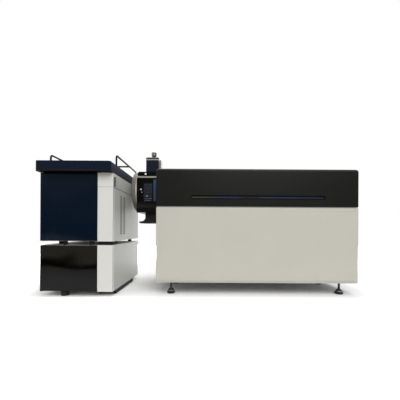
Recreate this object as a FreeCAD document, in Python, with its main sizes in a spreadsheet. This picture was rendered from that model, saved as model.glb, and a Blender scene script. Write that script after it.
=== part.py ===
import FreeCAD, Part
import math
import os

import Sketcher

# A bench liquid chromatograph with its mass analyser: a pump module, a sampler module with a column
# oven, a solvent tray, an ion source and the analyser cabinet. Millimetres, +X to the right, +Y away
# from the front, +Z up, with the origin under the middle of the whole instrument.

# Driving sizes
SIZES = [
    ("lc_width", 388.0, "pump and sampler modules, left to right"),
    ("lc_depth", 526.0, "pump and sampler modules, front to back"),
    ("source_gap", 30.0, "from the modules to the source flange"),
    ("flange_thick", 35.0, "source flange along X"),
    ("source_width", 155.0, "source housing along X"),
    ("ms_width", 1104.0, "analyser cabinet, left to right"),
    ("ms_depth", 620.0, "analyser cabinet, front to back"),
    ("tray_overhang", 40.0, "solvent tray in front of the modules"),
    ("ms_setback", 40.0, "analyser front behind the modules' front"),
    ("pump_foot", 26.0, "feet of the pump module"),
    ("pump_height", 246.0, "pump module"),
    ("module_gap", 20.0, "feet between the two modules"),
    ("sampler_height", 289.0, "sampler module up to the seam"),
    ("oven_height", 74.0, "column oven over the seam"),
    ("case_wall", 2.0, "folded sheet of the module cases"),
    ("case_round", 6.0, "upright rear corners of the cases"),
    ("door_thick", 20.0, "front doors, front to back"),
    ("door_wall", 3.0, "moulded wall of doors and strips"),
    ("door_round", 2.5, "rounding of a door's front edges"),
    ("door_gap", 1.0, "between a door and its case"),
    ("door_play", 1.0, "round a closed door"),
    ("hinge_margin", 0.5, "flat left beside the hinge edge's rounding"),
    ("pin_radius", 2.5, "door hinge pins"),
    ("pin_reach", 12.0, "hinge pin inside its door"),
    ("pin_play", 0.05, "running clearance round pins and shafts"),
    ("rib_height", 5.0, "stiffening ribs inside the doors"),
    ("pull_length", 70.0, "finger notch under a door"),
    ("pull_inset", 26.0, "finger notch from the door's free edge"),
    ("pull_depth", 9.0, "finger notch from the door's back"),
    ("strip_width", 82.0, "pale strip beside the doors"),
    ("strip_round", 3.0, "rounding of the strip's front edges"),
    ("vent_length", 37.0, "side vent slot"),
    ("vent_tall", 5.0, "side vent slot height"),
    ("vent_pitch", 11.2, "side vent rows"),
    ("vent_rows", 20.0, "side vent rows, how many"),
    ("vent_first", 37.0, "first vent row over the case's floor"),
    ("vent_inset", 96.0, "first vent column behind the case's front"),
    ("vent_step", 58.0, "from one vent column to the next"),
    ("grille_length", 120.0, "rear vent slot"),
    ("grille_tall", 5.0, "rear vent slot height"),
    ("grille_pitch", 14.0, "rear vent rows"),
    ("grille_rows", 5.0, "rear vent rows, how many"),
    ("grille_inset", 60.0, "rear vents from the right side"),
    ("port_radius", 5.0, "side ports of the oven"),
    ("port_inset", 12.0, "side ports behind the oven's front"),
    ("port_low", 14.0, "lower side port over the seam"),
    ("port_high", 38.0, "upper side port over the seam"),
    ("port_tall", 12.0, "straight part of a side port"),
    ("foot_radius", 20.0, "pump module foot"),
    ("foot_flare", 2.0, "narrowing of a foot towards its top"),
    ("stud_radius", 12.0, "foot between the modules"),
    ("foot_front", 30.0, "front feet behind the modules' front"),
    ("foot_inset", 123.0, "front feet from the sides"),
    ("foot_side_inset", 38.0, "side feet from the sides"),
    ("foot_side_first", 140.0, "first side foot behind the front"),
    ("foot_side_step", 300.0, "from one side foot to the next"),
    ("plinth_width", 96.0, "black plinth under the pump module's right side"),
    ("plinth_front", 63.0, "plinth behind the modules' front"),
    ("plinth_depth", 330.0, "plinth, front to back"),
    ("spacer_width", 84.0, "black spacer under the sampler's strip"),
    ("spacer_depth", 34.0, "black spacer, front to back"),
    ("tray_height", 54.0, "solvent tray"),
    ("tray_wall", 4.0, "solvent tray wall and floor"),
    ("tray_round", 12.0, "upright corners of the tray"),
    ("tray_lip", 3.0, "rounding of the tray's rim"),
    ("rail_radius", 5.0, "wire rail over the tray"),
    ("rail_rise", 61.0, "rail over the tray's rim"),
    ("rail_inset", 10.5, "rail from the tray's side"),
    ("rail_front", 120.0, "front post behind the tray's front"),
    ("rail_back", 530.0, "rear post behind the tray's front"),
    ("rail_bend", 16.0, "bend of the rail wire"),
    ("rail_cross", 373.0, "crossbar behind the tray's front"),
    ("bulkhead_thick", 2.5, "inner front plates of the modules"),
    ("bulkhead_inset", 62.0, "inner front plate behind the case's front"),
    ("bulkhead_lip", 12.0, "folded edge of the inner front plates"),
    ("head_radius", 24.0, "pump head"),
    ("head_length", 40.0, "pump head in front of its plate"),
    ("head_left", 70.0, "first pump head from the case's left"),
    ("head_step", 92.0, "between the pump heads"),
    ("head_level", 120.0, "pump heads over the module's floor"),
    ("head_port_radius", 7.5, "check valves over and under a head"),
    ("head_port_inset", 24.0, "check valves from the inner plate"),
    ("head_port_tall", 14.0, "check valve beyond the head"),
    ("drive_width", 70.0, "pump drive housing"),
    ("drive_depth", 150.0, "pump drive housing, front to back"),
    ("drive_height", 96.0, "pump drive housing height"),
    ("motor_radius", 28.0, "pump motor"),
    ("motor_length", 74.0, "pump motor behind its drive"),
    ("valve_side", 34.0, "purge valve block"),
    ("valve_length", 26.0, "purge valve block in front of the plate"),
    ("valve_left", 262.0, "purge valve from the case's left"),
    ("valve_level", 150.0, "purge valve over the module's floor"),
    ("knob_radius", 12.0, "purge knob"),
    ("knob_length", 14.0, "purge knob"),
    ("knob_flutes", 8.0, "flutes of the purge knob"),
    ("knob_shaft", 4.0, "purge knob's shaft"),
    ("knob_reach", 10.0, "purge knob's shaft inside its valve"),
    ("running_gap", 0.3, "between faces that turn or slide past each other"),
    ("degasser_left", 215.0, "degasser from the case's left"),
    ("degasser_width", 150.0, "degasser"),
    ("degasser_height", 60.0, "degasser height"),
    ("degasser_depth", 180.0, "degasser, front to back"),
    ("fitting_count", 4.0, "tube fittings of the degasser"),
    ("fitting_radius", 5.0, "tube fittings"),
    ("fitting_length", 14.0, "tube fittings"),
    ("fitting_step", 22.0, "between tube fittings"),
    ("rack_width", 210.0, "vial rack"),
    ("rack_depth", 120.0, "vial rack, front to back"),
    ("rack_height", 34.0, "vial rack height"),
    ("vial_radius", 6.0, "vial pocket"),
    ("vial_pitch", 20.0, "between vial pockets"),
    ("vial_columns", 9.0, "vial pockets in a row"),
    ("vial_lines", 5.0, "rows of vial pockets"),
    ("vial_depth", 28.0, "depth of a vial pocket"),
    ("rack_left", 22.0, "rack from the case's left"),
    ("rack_front", 30.0, "rack behind the case's front"),
    ("cooler_height", 26.0, "cooled plate under the rack"),
    ("cooler_fin", 5.0, "fin of the cooled plate"),
    ("cooler_fins", 11.0, "fins of the cooled plate"),
    ("cooler_web", 10.0, "solid top of the cooled plate"),
    ("chamber_depth", 200.0, "sampler chamber behind the case's front"),
    ("rail_level", 206.0, "carriage rail over the sampler's floor"),
    ("rail_height", 18.0, "carriage rail height"),
    ("rail_depth", 12.0, "carriage rail, front to back"),
    ("carriage_width", 56.0, "needle carriage along the rail"),
    ("carriage_wall", 5.0, "needle carriage's hook over the rail"),
    ("carriage_left", 40.0, "carriage's rest from the case's left"),
    ("slide_radius", 4.0, "needle arm's guide rods"),
    ("slide_spread", 32.0, "between the guide rods"),
    ("guide_tall", 128.0, "guide rods over the carriage's lower end"),
    ("arm_height", 26.0, "needle arm block"),
    ("arm_nose", 6.0, "needle arm in front of its needle"),
    ("arm_rest", 66.0, "needle arm over the lower end of its guides"),
    ("needle_radius", 1.2, "sampling needle"),
    ("needle_length", 52.0, "sampling needle under its arm"),
    ("injector_radius", 26.0, "injection valve"),
    ("injector_length", 44.0, "injection valve in front of its plate"),
    ("injector_neck", 21.0, "front part of the injection valve"),
    ("injector_ports", 6.0, "ports of the injection valve"),
    ("injector_level", 40.0, "injection valve over the sampler's floor"),
    ("injector_right", 58.0, "injection valve from the case's right"),
    ("oven_block_width", 300.0, "oven's heated block"),
    ("oven_block_depth", 90.0, "oven's heated block, front to back"),
    ("oven_block_height", 34.0, "oven's heated block height"),
    ("oven_block_inset", 40.0, "heated block behind the case's front"),
    ("column_radius", 5.0, "separation column"),
    ("column_length", 150.0, "separation column"),
    ("column_nut", 8.0, "end fitting of the column"),
    ("column_nut_length", 14.0, "end fitting's length"),
    ("column_play", 0.4, "groove round the column"),
    ("source_setback", 188.0, "source front behind the analyser's front"),
    ("source_depth", 270.0, "source housing, front to back"),
    ("source_level", 462.0, "underside of the source housing"),
    ("source_height", 215.0, "source housing height"),
    ("source_wall", 10.0, "cast wall of the source housing"),
    ("source_cavity", 210.0, "spray chamber, front to back"),
    ("flange_radius", 128.0, "source flange"),
    ("flange_level", 605.0, "centre of the flange"),
    ("ion_level", 575.0, "centre of the ion path"),
    ("flange_bolts", 8.0, "bolts of the flange"),
    ("flange_rim", 9.0, "bright rim of the flange"),
    ("flange_edge", 3.0, "chamfer of the flange"),
    ("flange_dish", 6.0, "dished face of the flange"),
    ("flange_hub", 44.0, "hub of the flange"),
    ("band_level", 26.0, "ribbed band over the source's underside"),
    ("band_groove", 4.0, "groove of the ribbed band"),
    ("band_pitch", 9.0, "between the band's grooves"),
    ("band_grooves", 4.0, "grooves of the ribbed band"),
    ("band_depth", 3.0, "depth of the band's grooves"),
    ("hatch_left", 5.0, "source door from the housing's left"),
    ("hatch_width", 120.0, "source door"),
    ("hatch_level", 64.0, "source door over the housing's underside"),
    ("hatch_height", 146.0, "source door height"),
    ("hatch_thick", 14.0, "source door, front to back"),
    ("hatch_round", 4.0, "rounding of the source door"),
    ("window_inset", 38.0, "window from the door's left"),
    ("window_level", 4.0, "window over the door's lower edge"),
    ("window_width", 54.0, "window in the source door"),
    ("window_height", 114.0, "window height"),
    ("window_ledge", 4.0, "ledge that the window rests on"),
    ("window_thick", 5.0, "window pane"),
    ("handle_height", 134.0, "strip handle height"),
    ("handle_width", 17.0, "bright strip handle of the source door"),
    ("handle_thick", 7.0, "strip handle in front of the door"),
    ("hinge_pin", 2.5, "source door's hinge pins"),
    ("hinge_reach", 9.0, "lower hinge pin under the source door"),
    ("bar_height", 11.0, "pale plate over the source housing"),
    ("head_height", 26.0, "dark head over the pale plate"),
    ("source_head_depth", 230.0, "dark head, front to back"),
    ("source_head_inset", 5.0, "dark head from the housing's left"),
    ("source_head_round", 14.0, "rounding of the head's upper left edge"),
    ("probe_left", 45.0, "probe box from the housing's left"),
    ("probe_width", 83.0, "probe box"),
    ("probe_depth", 110.0, "probe box, front to back"),
    ("probe_setback", 52.0, "probe box behind the source's front"),
    ("probe_height", 86.0, "probe box height"),
    ("probe_round", 4.0, "upright edges of the probe box"),
    ("band_height", 11.0, "pale band over the probe box"),
    ("cap_height", 9.0, "dark cap over the pale band"),
    ("cap_chamfer", 6.0, "chamfer round the cap"),
    ("stem_radius", 13.0, "probe stem"),
    ("stem_height", 18.0, "probe stem"),
    ("probe_knob_radius", 16.5, "knob on the probe"),
    ("probe_knob_grooves", 12.0, "grip grooves of the probe's knob"),
    ("probe_knob_height", 26.0, "knob on the probe"),
    ("probe_shaft", 5.0, "knob's shaft in the stem"),
    ("sprayer_radius", 8.0, "sprayer tube in the spray chamber"),
    ("sprayer_tip", 1.5, "tip of the sprayer"),
    ("sprayer_drop", 58.0, "sprayer inside the spray chamber"),
    ("sprayer_cone", 22.0, "conical end of the sprayer"),
    ("post_width", 12.0, "grey post beside the probe box"),
    ("post_gap", 2.0, "between the probe box and the post"),
    ("post_depth", 60.0, "grey post, front to back"),
    ("bracket_level", 396.0, "underside of the source bracket"),
    ("bracket_plate", 13.0, "foot plate of the source bracket"),
    ("bracket_reach", 152.0, "foot plate from the cabinet"),
    ("bracket_column", 114.0, "column of the source bracket"),
    ("bracket_fillet", 26.0, "hollow curve between column and plate"),
    ("bracket_depth", 150.0, "source bracket, front to back"),
    ("cone_radius", 20.0, "sampling cone's base"),
    ("cone_tip", 3.0, "sampling cone's tip"),
    ("cone_reach", 18.0, "sampling cone inside the spray chamber"),
    ("cone_hole", 22.0, "hole round the sampling cone"),
    ("ms_foot", 68.0, "levelling feet of the analyser"),
    ("ms_lower", 411.0, "pale lower part of the analyser"),
    ("deck_thick", 6.0, "deck between the lower part and the hood"),
    ("deck_inset", 4.0, "edge of the deck behind the cabinet's sides"),
    ("hood_height", 207.0, "black hood"),
    ("hood_wall", 4.0, "moulded wall of the hood"),
    ("hood_round", 16.0, "rounding of the hood's upper edges"),
    ("hood_corner", 14.0, "chamfer of the hood's lower right corner"),
    ("slot_left", 188.0, "light slot from the cabinet's left"),
    ("slot_length", 734.0, "light slot"),
    ("slot_tall", 22.0, "light slot height"),
    ("trough_depth", 10.0, "light slot, front to back"),
    ("slot_level", 49.0, "light slot over the hood's lower edge"),
    ("light_tall", 8.0, "light strip in the slot"),
    ("light_thick", 6.0, "light strip, front to back"),
    ("shell_wall", 2.0, "folded sheet of the analyser's shell"),
    ("shell_flange", 22.0, "flange of the shell under the deck"),
    ("shell_round", 8.0, "rear corners of the analyser"),
    ("panel_thick", 22.0, "pale front panel, front to back"),
    ("panel_wall", 3.0, "moulded wall of the front panel"),
    ("panel_round", 6.0, "rounding of the panel's upright edges"),
    ("panel_ribs", 3.0, "upright ribs inside the front panel"),
    ("panel_step", 12.0, "shadow step along the panel's lower edge"),
    ("base_thick", 4.0, "base pan of the analyser"),
    ("base_rim", 34.0, "folded rim of the base pan"),
    ("leveller_radius", 22.0, "pad of a levelling foot"),
    ("leveller_edge", 1.5, "rounding under a levelling foot"),
    ("leveller_pad", 12.0, "pad of a levelling foot"),
    ("leveller_cone", 14.0, "conical part of a levelling foot"),
    ("leveller_stem", 6.0, "stem of a levelling foot"),
    ("leveller_top", 14.0, "stem above the base pan"),
    ("leveller_nut", 10.0, "nut of a levelling foot, across its corners' circle"),
    ("leveller_nut_tall", 9.0, "nut of a levelling foot"),
    ("leveller_inset", 78.0, "levelling feet from the cabinet's sides"),
    ("leveller_front", 53.0, "front levelling feet behind the cabinet's front"),
    ("leveller_rows", 3.0, "rows of levelling feet"),
    ("chamber_left", 24.0, "vacuum chamber from the cabinet's left"),
    ("chamber_length", 760.0, "vacuum chamber"),
    ("chamber_width", 240.0, "vacuum chamber, front to back"),
    ("chamber_height", 168.0, "vacuum chamber height"),
    ("chamber_wall", 14.0, "machined wall of the vacuum chamber"),
    ("lid_thick", 12.0, "lid of the vacuum chamber"),
    ("lid_bays", 4.0, "milled pockets in the lid"),
    ("turbo_radius", 66.0, "turbo pump"),
    ("turbo_flange_thick", 14.0, "turbo pump's flange thickness"),
    ("turbo_body", 53.0, "lower body of a turbo pump"),
    ("turbo_length", 170.0, "turbo pump under the deck"),
    ("turbo_first", 180.0, "first turbo pump from the chamber's left"),
    ("turbo_step", 320.0, "between the turbo pumps"),
    ("rod_radius", 8.0, "quadrupole rod"),
    ("rod_spread", 15.0, "quadrupole rods from their axis"),
    ("rod_length", 230.0, "quadrupole rods"),
    ("collar_radius", 36.0, "ceramic collar of the quadrupole"),
    ("collar_thick", 16.0, "ceramic collar of the quadrupole"),
    ("collar_inset", 30.0, "ceramic collar from the rods' end"),
    ("rod_first", 90.0, "first quadrupole from the chamber's left"),
    ("rod_step", 300.0, "between the quadrupoles"),
    ("detector_side", 44.0, "ion detector block"),
    ("supply_width", 260.0, "power supply"),
    ("supply_depth", 180.0, "power supply, front to back"),
    ("supply_height", 130.0, "power supply height"),
    ("supply_inset", 60.0, "power supply from the cabinet's inside"),
    ("fan_side", 120.0, "fan frame"),
    ("fan_thick", 25.0, "fan frame, front to back"),
    ("fan_arms", 4.0, "arms of the fan frame"),
    ("fan_bore", 57.0, "fan frame's bore"),
    ("fan_hub", 20.0, "fan hub"),
    ("fan_tip", 50.0, "fan blade tips"),
    ("fan_blade_thick", 3.0, "fan blade"),
    ("fan_blades", 7.0, "fan blades"),
    ("fan_shaft", 3.0, "fan shaft"),
    ("fan_inset", 240.0, "fan centre from the cabinet's right"),
    ("fan_level", 150.0, "fan centre over the base"),
    ("fan_bars", 9.0, "slots of the fan grille"),
    ("fan_rib", 5.0, "bars of the fan grille"),
    ("inlet_width", 28.0, "mains inlet"),
    ("inlet_height", 32.0, "mains inlet height"),
    ("inlet_depth", 22.0, "mains inlet, front to back"),
    ("inlet_rim", 3.0, "mains inlet's rim round its hole"),
    ("inlet_left", 60.0, "mains inlet from a cabinet's left, seen from the front"),
    ("inlet_level", 44.0, "mains inlet over a cabinet's floor"),
    ("switch_width", 22.0, "rocker switch"),
    ("switch_height", 26.0, "rocker switch height"),
    ("switch_reach", 12.0, "rocker inside its cabinet"),
    ("switch_proud", 4.0, "rocker outside its cabinet"),
    ("switch_axle", 3.0, "rocker's axle"),
    ("switch_stub", 0.4, "axle beyond the rocker's sides"),
    ("switch_step", 64.0, "switch beside the mains inlet"),
    ("switch_play", 1.0, "round a rocker in its hole"),
    ("vacuum_radius", 20.0, "backing port's flange"),
    ("vacuum_bore", 12.5, "backing port's bore"),
    ("vacuum_tube", 15.0, "backing port's tube"),
    ("vacuum_flange", 5.0, "backing port's flange thickness"),
    ("vacuum_proud", 16.0, "backing port behind the cabinet"),
    ("vacuum_inside", 40.0, "backing port inside the cabinet"),
    ("vacuum_inset", 420.0, "backing port from the cabinet's left"),
    ("vacuum_level", 120.0, "backing port over the base"),
]

CLOSE = 0.01
RIGHT_ANGLE = 90.0
FULL_TURN = 360.0
NUT_SIDES = 6
CENTRE_POINT = 3

doc = FreeCAD.newDocument("LiquidChromatograph")
sheet = doc.addObject("Spreadsheet::Sheet", "Sizes")
for line, (alias, value, note) in enumerate(SIZES, start=1):
    sheet.set(f"A{line}", note)
    sheet.set(f"B{line}", str(value))
    sheet.setAlias(f"B{line}", alias)
doc.recompute()


def text_of(value):
    """The expression of a size, or a plain number as text."""
    return value.text if isinstance(value, Size) else repr(float(value))


def number_of(value):
    """The number of a size or of a plain value."""
    return value.number if isinstance(value, Size) else float(value)


class Size:
    """A length that carries both its number and the sheet expression that makes it."""

    def __init__(self, text, number):
        self.text = text
        self.number = number

    def __add__(self, other):
        return Size(f"({self.text} + {text_of(other)})", self.number + number_of(other))

    def __radd__(self, other):
        return Size(f"({text_of(other)} + {self.text})", number_of(other) + self.number)

    def __sub__(self, other):
        return Size(f"({self.text} - {text_of(other)})", self.number - number_of(other))

    def __rsub__(self, other):
        return Size(f"({text_of(other)} - {self.text})", number_of(other) - self.number)

    def __mul__(self, other):
        return Size(f"({self.text} * {text_of(other)})", self.number * number_of(other))

    def __rmul__(self, other):
        return Size(f"({text_of(other)} * {self.text})", number_of(other) * self.number)

    def __truediv__(self, other):
        return Size(f"({self.text} / {text_of(other)})", self.number / number_of(other))

    def __neg__(self):
        return Size(f"(0 - {self.text})", -self.number)


class SheetSizes:
    """Every alias of the sheet as a Size."""

    def __getattr__(self, alias):
        return Size(f"Sizes.{alias}", float(sheet.get(alias)))


S = SheetSizes()

# Places shared by the sub-parts
LEFT = -(S.lc_width + S.source_gap + S.flange_thick + S.source_width + S.ms_width) / 2
LC_RIGHT = LEFT + S.lc_width
FLANGE_LEFT = LC_RIGHT + S.source_gap
SOURCE_LEFT = FLANGE_LEFT + S.flange_thick
MS_LEFT = SOURCE_LEFT + S.source_width
FRONT = -(S.tray_overhang + S.ms_setback + S.ms_depth + S.vacuum_proud) / 2
LC_FRONT = FRONT + S.tray_overhang
MS_FRONT = LC_FRONT + S.ms_setback
CASE_FRONT = LC_FRONT + S.door_thick + S.door_gap
CASE_DEPTH = S.lc_depth - S.door_thick - S.door_gap
SOURCE_FRONT = MS_FRONT + S.source_setback
SOURCE_TOP = S.source_level + S.source_height
PUMP_TOP = S.pump_foot + S.pump_height
SAMPLER_BOTTOM = PUMP_TOP + S.module_gap
OVEN_BOTTOM = SAMPLER_BOTTOM + S.sampler_height
STACK_TOP = OVEN_BOTTOM + S.oven_height
PIN_X = S.door_thick / 2
PIN_Y = S.door_thick / 2
DECK_BOTTOM = S.ms_foot + S.ms_lower
HOOD_BOTTOM = DECK_BOTTOM + S.deck_thick
ION_Y = S.source_setback + S.probe_setback + S.probe_depth / 2

PLANES = {"x": ("YZ_Plane", 1), "y": ("XZ_Plane", -1), "z": ("XY_Plane", 1)}
AXES = {"x": "X_Axis", "y": "Y_Axis", "z": "Z_Axis"}
TURNING = {"x": ("XY_Plane", "H_Axis"), "y": ("XY_Plane", "V_Axis"), "z": ("XZ_Plane", "V_Axis")}
NODES = {}


# Drawing and feature helpers
def bind(thing, name, value):
    """Set a property from a number, or tie it to the sheet."""
    if isinstance(value, Size):
        thing.setExpression(name, value.text)
    elif name.startswith(("Placement", "AttachmentOffset")):
        thing.setExpression(name, repr(float(value)))
    else:
        setattr(thing, name, value)


def place(thing, x, y, z):
    """Stand a thing at a point."""
    for axis, value in (("x", x), ("y", y), ("z", z)):
        bind(thing, f"Placement.Base.{axis}", value)


def named(kind, label, x, y, z):
    """A new sub-part with its label and place."""
    made = doc.addObject(kind, label)
    made.Label = label
    place(made, x, y, z)
    NODES[label] = made
    return made


def new_body(label, x, y, z):
    """A sub-part that is built from sketches, with its own origin at a point."""
    return named("PartDesign::Body", label, x, y, z)


def origin_part(body, role):
    """A plane or an axis of a body's own origin."""
    return next(part for part in body.Origin.OriginFeatures if part.Role == role)


def pin(sketch, line, point, x, y):
    """Hold one point of a sketch at its distances from the sketch's origin."""
    for kind, value in (("DistanceX", x), ("DistanceY", y)):
        if value is None:
            continue
        held = sketch.addConstraint(Sketcher.Constraint(kind, -1, 1, line, point, number_of(value)))
        if isinstance(value, Size):
            bind(sketch, f"Constraints[{held}]", value)


def vector(x, y):
    """A point of a sketch."""
    return FreeCAD.Vector(number_of(x), number_of(y), 0.0)


def polygon(*points):
    """An outline of straight lines through the points."""
    def draw(sketch):
        first = sketch.GeometryCount
        count = len(points)
        for index in range(count):
            ends = vector(*points[index]), vector(*points[(index + 1) % count])
            sketch.addGeometry(Part.LineSegment(*ends), False)
        for index, (x, y) in enumerate(points):
            before = first + (index - 1) % count
            sketch.addConstraint(Sketcher.Constraint("Coincident", before, 2, first + index, 1))
            pin(sketch, first + index, 1, x, y)
    return draw


def rect(left, low, right, high):
    """A rectangle between two corners."""
    return polygon((left, low), (right, low), (right, high), (left, high))


def disc(x, y, radius):
    """A circle."""
    def draw(sketch):
        ring = Part.Circle(vector(x, y), FreeCAD.Vector(0, 0, 1), number_of(radius))
        drawn = sketch.addGeometry(ring, False)
        pin(sketch, drawn, CENTRE_POINT, x, y)
        held = sketch.addConstraint(Sketcher.Constraint("Radius", drawn, number_of(radius)))
        bind(sketch, f"Constraints[{held}]", radius)
    return draw


def slot(near, far, level, radius, upright=False):
    """A slot with round ends, between two arc centres on one level."""
    def point(along, across):
        return (across, along) if upright else (along, across)

    def draw(sketch):
        first = sketch.GeometryCount
        low, high = level - radius, level + radius
        corners = [point(near, low), point(far, low), point(far, high), point(near, high)]
        sketch.addGeometry(Part.LineSegment(vector(*corners[0]), vector(*corners[1])), False)
        outer = Part.Arc(vector(*corners[1]), vector(*point(far + radius, level)), vector(*corners[2]))
        sketch.addGeometry(outer, False)
        sketch.addGeometry(Part.LineSegment(vector(*corners[2]), vector(*corners[3])), False)
        inner = Part.Arc(vector(*corners[3]), vector(*point(near - radius, level)), vector(*corners[0]))
        sketch.addGeometry(inner, False)
        for line, ends in ((first, corners[:2]), (first + 2, corners[2:])):
            pin(sketch, line, 1, *ends[0])
            pin(sketch, line, 2, *ends[1])
        for arc, centre, before, after in ((first + 1, far, 0, 2), (first + 3, near, 2, 0)):
            join_arc(sketch, arc, first + before, first + after, point(centre, None), upright)
    return draw


def join_arc(sketch, arc, before, after, centre, upright):
    """Tie an arc's ends to two lines and hold its centre."""
    ends = (2, 1) if upright else (1, 2)
    sketch.addConstraint(Sketcher.Constraint("Coincident", before, 2, arc, ends[0]))
    sketch.addConstraint(Sketcher.Constraint("Coincident", after, 1, arc, ends[1]))
    pin(sketch, arc, CENTRE_POINT, *centre)


def outline_sketch(body, role, station, outlines):
    """A sketch on one of the body's planes, moved along the plane's normal."""
    drawn = body.newObject("Sketcher::SketchObject", f"{body.Label}_outline")
    drawn.AttachmentSupport = (origin_part(body, role), [""])
    drawn.MapMode = "FlatFace"
    bind(drawn, "AttachmentOffset.Base.z", station)
    for outline in outlines:
        outline(drawn)
    return drawn


def pad(body, axis, low, high, *outlines):
    """Add the outlines' area between two stations of an axis."""
    role, facing = PLANES[axis]
    drawn = outline_sketch(body, role, low if facing > 0 else -high, outlines)
    made = body.newObject("PartDesign::Pad", f"{body.Label}_pad")
    made.Profile = drawn
    bind(made, "Length", high - low)
    return made


def cut(body, axis, low, high, *outlines):
    """Take the outlines' area away between two stations of an axis."""
    role, facing = PLANES[axis]
    drawn = outline_sketch(body, role, high if facing > 0 else -low, outlines)
    made = body.newObject("PartDesign::Pocket", f"{body.Label}_pocket")
    made.Profile = drawn
    bind(made, "Length", high - low)
    return made


def turned(body, axis, *points, cutting=False):
    """Add, or take away, a profile of (radius, station) points turned about an axis of the body."""
    role, reference = TURNING[axis]
    flat = [(station, radius) if axis == "x" else (radius, station) for radius, station in points]
    drawn = outline_sketch(body, role, 0.0, [polygon(*flat)])
    kind = "Groove" if cutting else "Revolution"
    made = body.newObject(f"PartDesign::{kind}", f"{body.Label}_{kind.lower()}")
    made.Profile = drawn
    made.ReferenceAxis = (drawn, [reference])
    made.Angle = FULL_TURN
    return made


def edges_at(body, stations):
    """Names of the edges of a body's latest shape that lie wholly at the given stations."""
    doc.recompute()
    names = []
    for index, edge in enumerate(body.Tip.Shape.Edges, start=1):
        box = edge.BoundBox
        spans = {"x": (box.XMin, box.XMax), "y": (box.YMin, box.YMax), "z": (box.ZMin, box.ZMax)}
        if all(lies_at(spans[axis], wanted) for axis, wanted in stations.items()):
            names.append(f"Edge{index}")
    if not names:
        raise ValueError(f"{body.Label} has no edge at {sorted(stations)}")
    return names


def lies_at(span, wanted):
    """Whether both ends of a span are at one of the wanted stations."""
    choices = wanted if isinstance(wanted, tuple) else (wanted,)
    return any(max(abs(end - number_of(choice)) for end in span) < CLOSE for choice in choices)


def soften(kind, body, size, stations):
    """Round or chamfer the edges at the given stations."""
    names = edges_at(body, stations)
    base = body.Tip
    made = body.newObject(f"PartDesign::{kind}", f"{body.Label}_{kind.lower()}")
    made.Base = (base, names)
    bind(made, "Radius" if kind == "Fillet" else "Size", size)
    return made


def fillet(body, radius, **stations):
    """Round the edges at the given stations."""
    return soften("Fillet", body, radius, stations)


def chamfer(body, size, **stations):
    """Chamfer the edges at the given stations."""
    return soften("Chamfer", body, size, stations)


def repeat(body, features, axis, step, count, other=None):
    """Copies of features along one axis, or along two for a grid."""
    made = body.newObject("PartDesign::LinearPattern", f"{body.Label}_row")
    made.Originals = features
    made.Direction = (origin_part(body, AXES[axis]), [""])
    bind(made, "Length", step * (count - 1))
    set_count(made, "Occurrences", count)
    if other:
        second_axis, second_step, second_count = other
        made.Direction2 = (origin_part(body, AXES[second_axis]), [""])
        bind(made, "Length2", second_step * (second_count - 1))
        set_count(made, "Occurrences2", second_count)
    body.Tip = made
    return made


def set_count(pattern, name, count):
    """Say how many copies a pattern has."""
    if isinstance(count, Size):
        pattern.setExpression(name, count.text)
    else:
        setattr(pattern, name, count)


def ring_of(body, features, axis, count):
    """Copies of features, evenly round an axis of the body."""
    made = body.newObject("PartDesign::PolarPattern", f"{body.Label}_ring")
    made.Originals = features
    made.Axis = (origin_part(body, AXES[axis]), [""])
    made.Angle = FULL_TURN
    set_count(made, "Occurrences", count)
    body.Tip = made
    return made


# LC modules
def module_case(label, bottom, height, tongues):
    """A folded sheet case, open at the front, with tongues that carry the door's hinge pins."""
    case = new_body(label, LEFT, CASE_FRONT, bottom)
    wall = S.case_wall
    pad(case, "z", 0.0, height, rect(0.0, 0.0, S.lc_width, CASE_DEPTH))
    fillet(case, S.case_round, x=(0.0, S.lc_width), y=CASE_DEPTH)
    cut(case, "y", 0.0, CASE_DEPTH - wall, rect(wall, wall, S.lc_width - wall, height - wall))
    for end in tongues:
        low = 0.0 if end == "low" else height - wall
        reach = S.door_gap + S.door_thick
        pad(case, "z", low, low + wall, rect(0.0, -reach, S.door_thick, 0.0))
        fillet(case, S.door_thick / 2 - S.hinge_margin, x=(0.0, S.door_thick), y=-reach)
        cut(case, "z", low, low + wall, disc(PIN_X, -(S.door_gap + PIN_Y), S.pin_radius + S.pin_play))
    return case


def rear_grille(case, low):
    """Vent slots in the rear wall of a case."""
    right = S.lc_width - S.grille_inset
    row = rect(right - S.grille_length, low, right, low + S.grille_tall)
    first = cut(case, "y", CASE_DEPTH - 2 * S.case_wall, CASE_DEPTH, row)
    repeat(case, [first], "z", S.grille_pitch, S.grille_rows)


def inlet_hole(case, back, wall):
    """The hole of a mains inlet in a rear wall."""
    left = S.inlet_left
    hole = rect(left, S.inlet_level, left + S.inlet_width, S.inlet_level + S.inlet_height)
    cut(case, "y", back - 2 * wall, back, hole)


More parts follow.
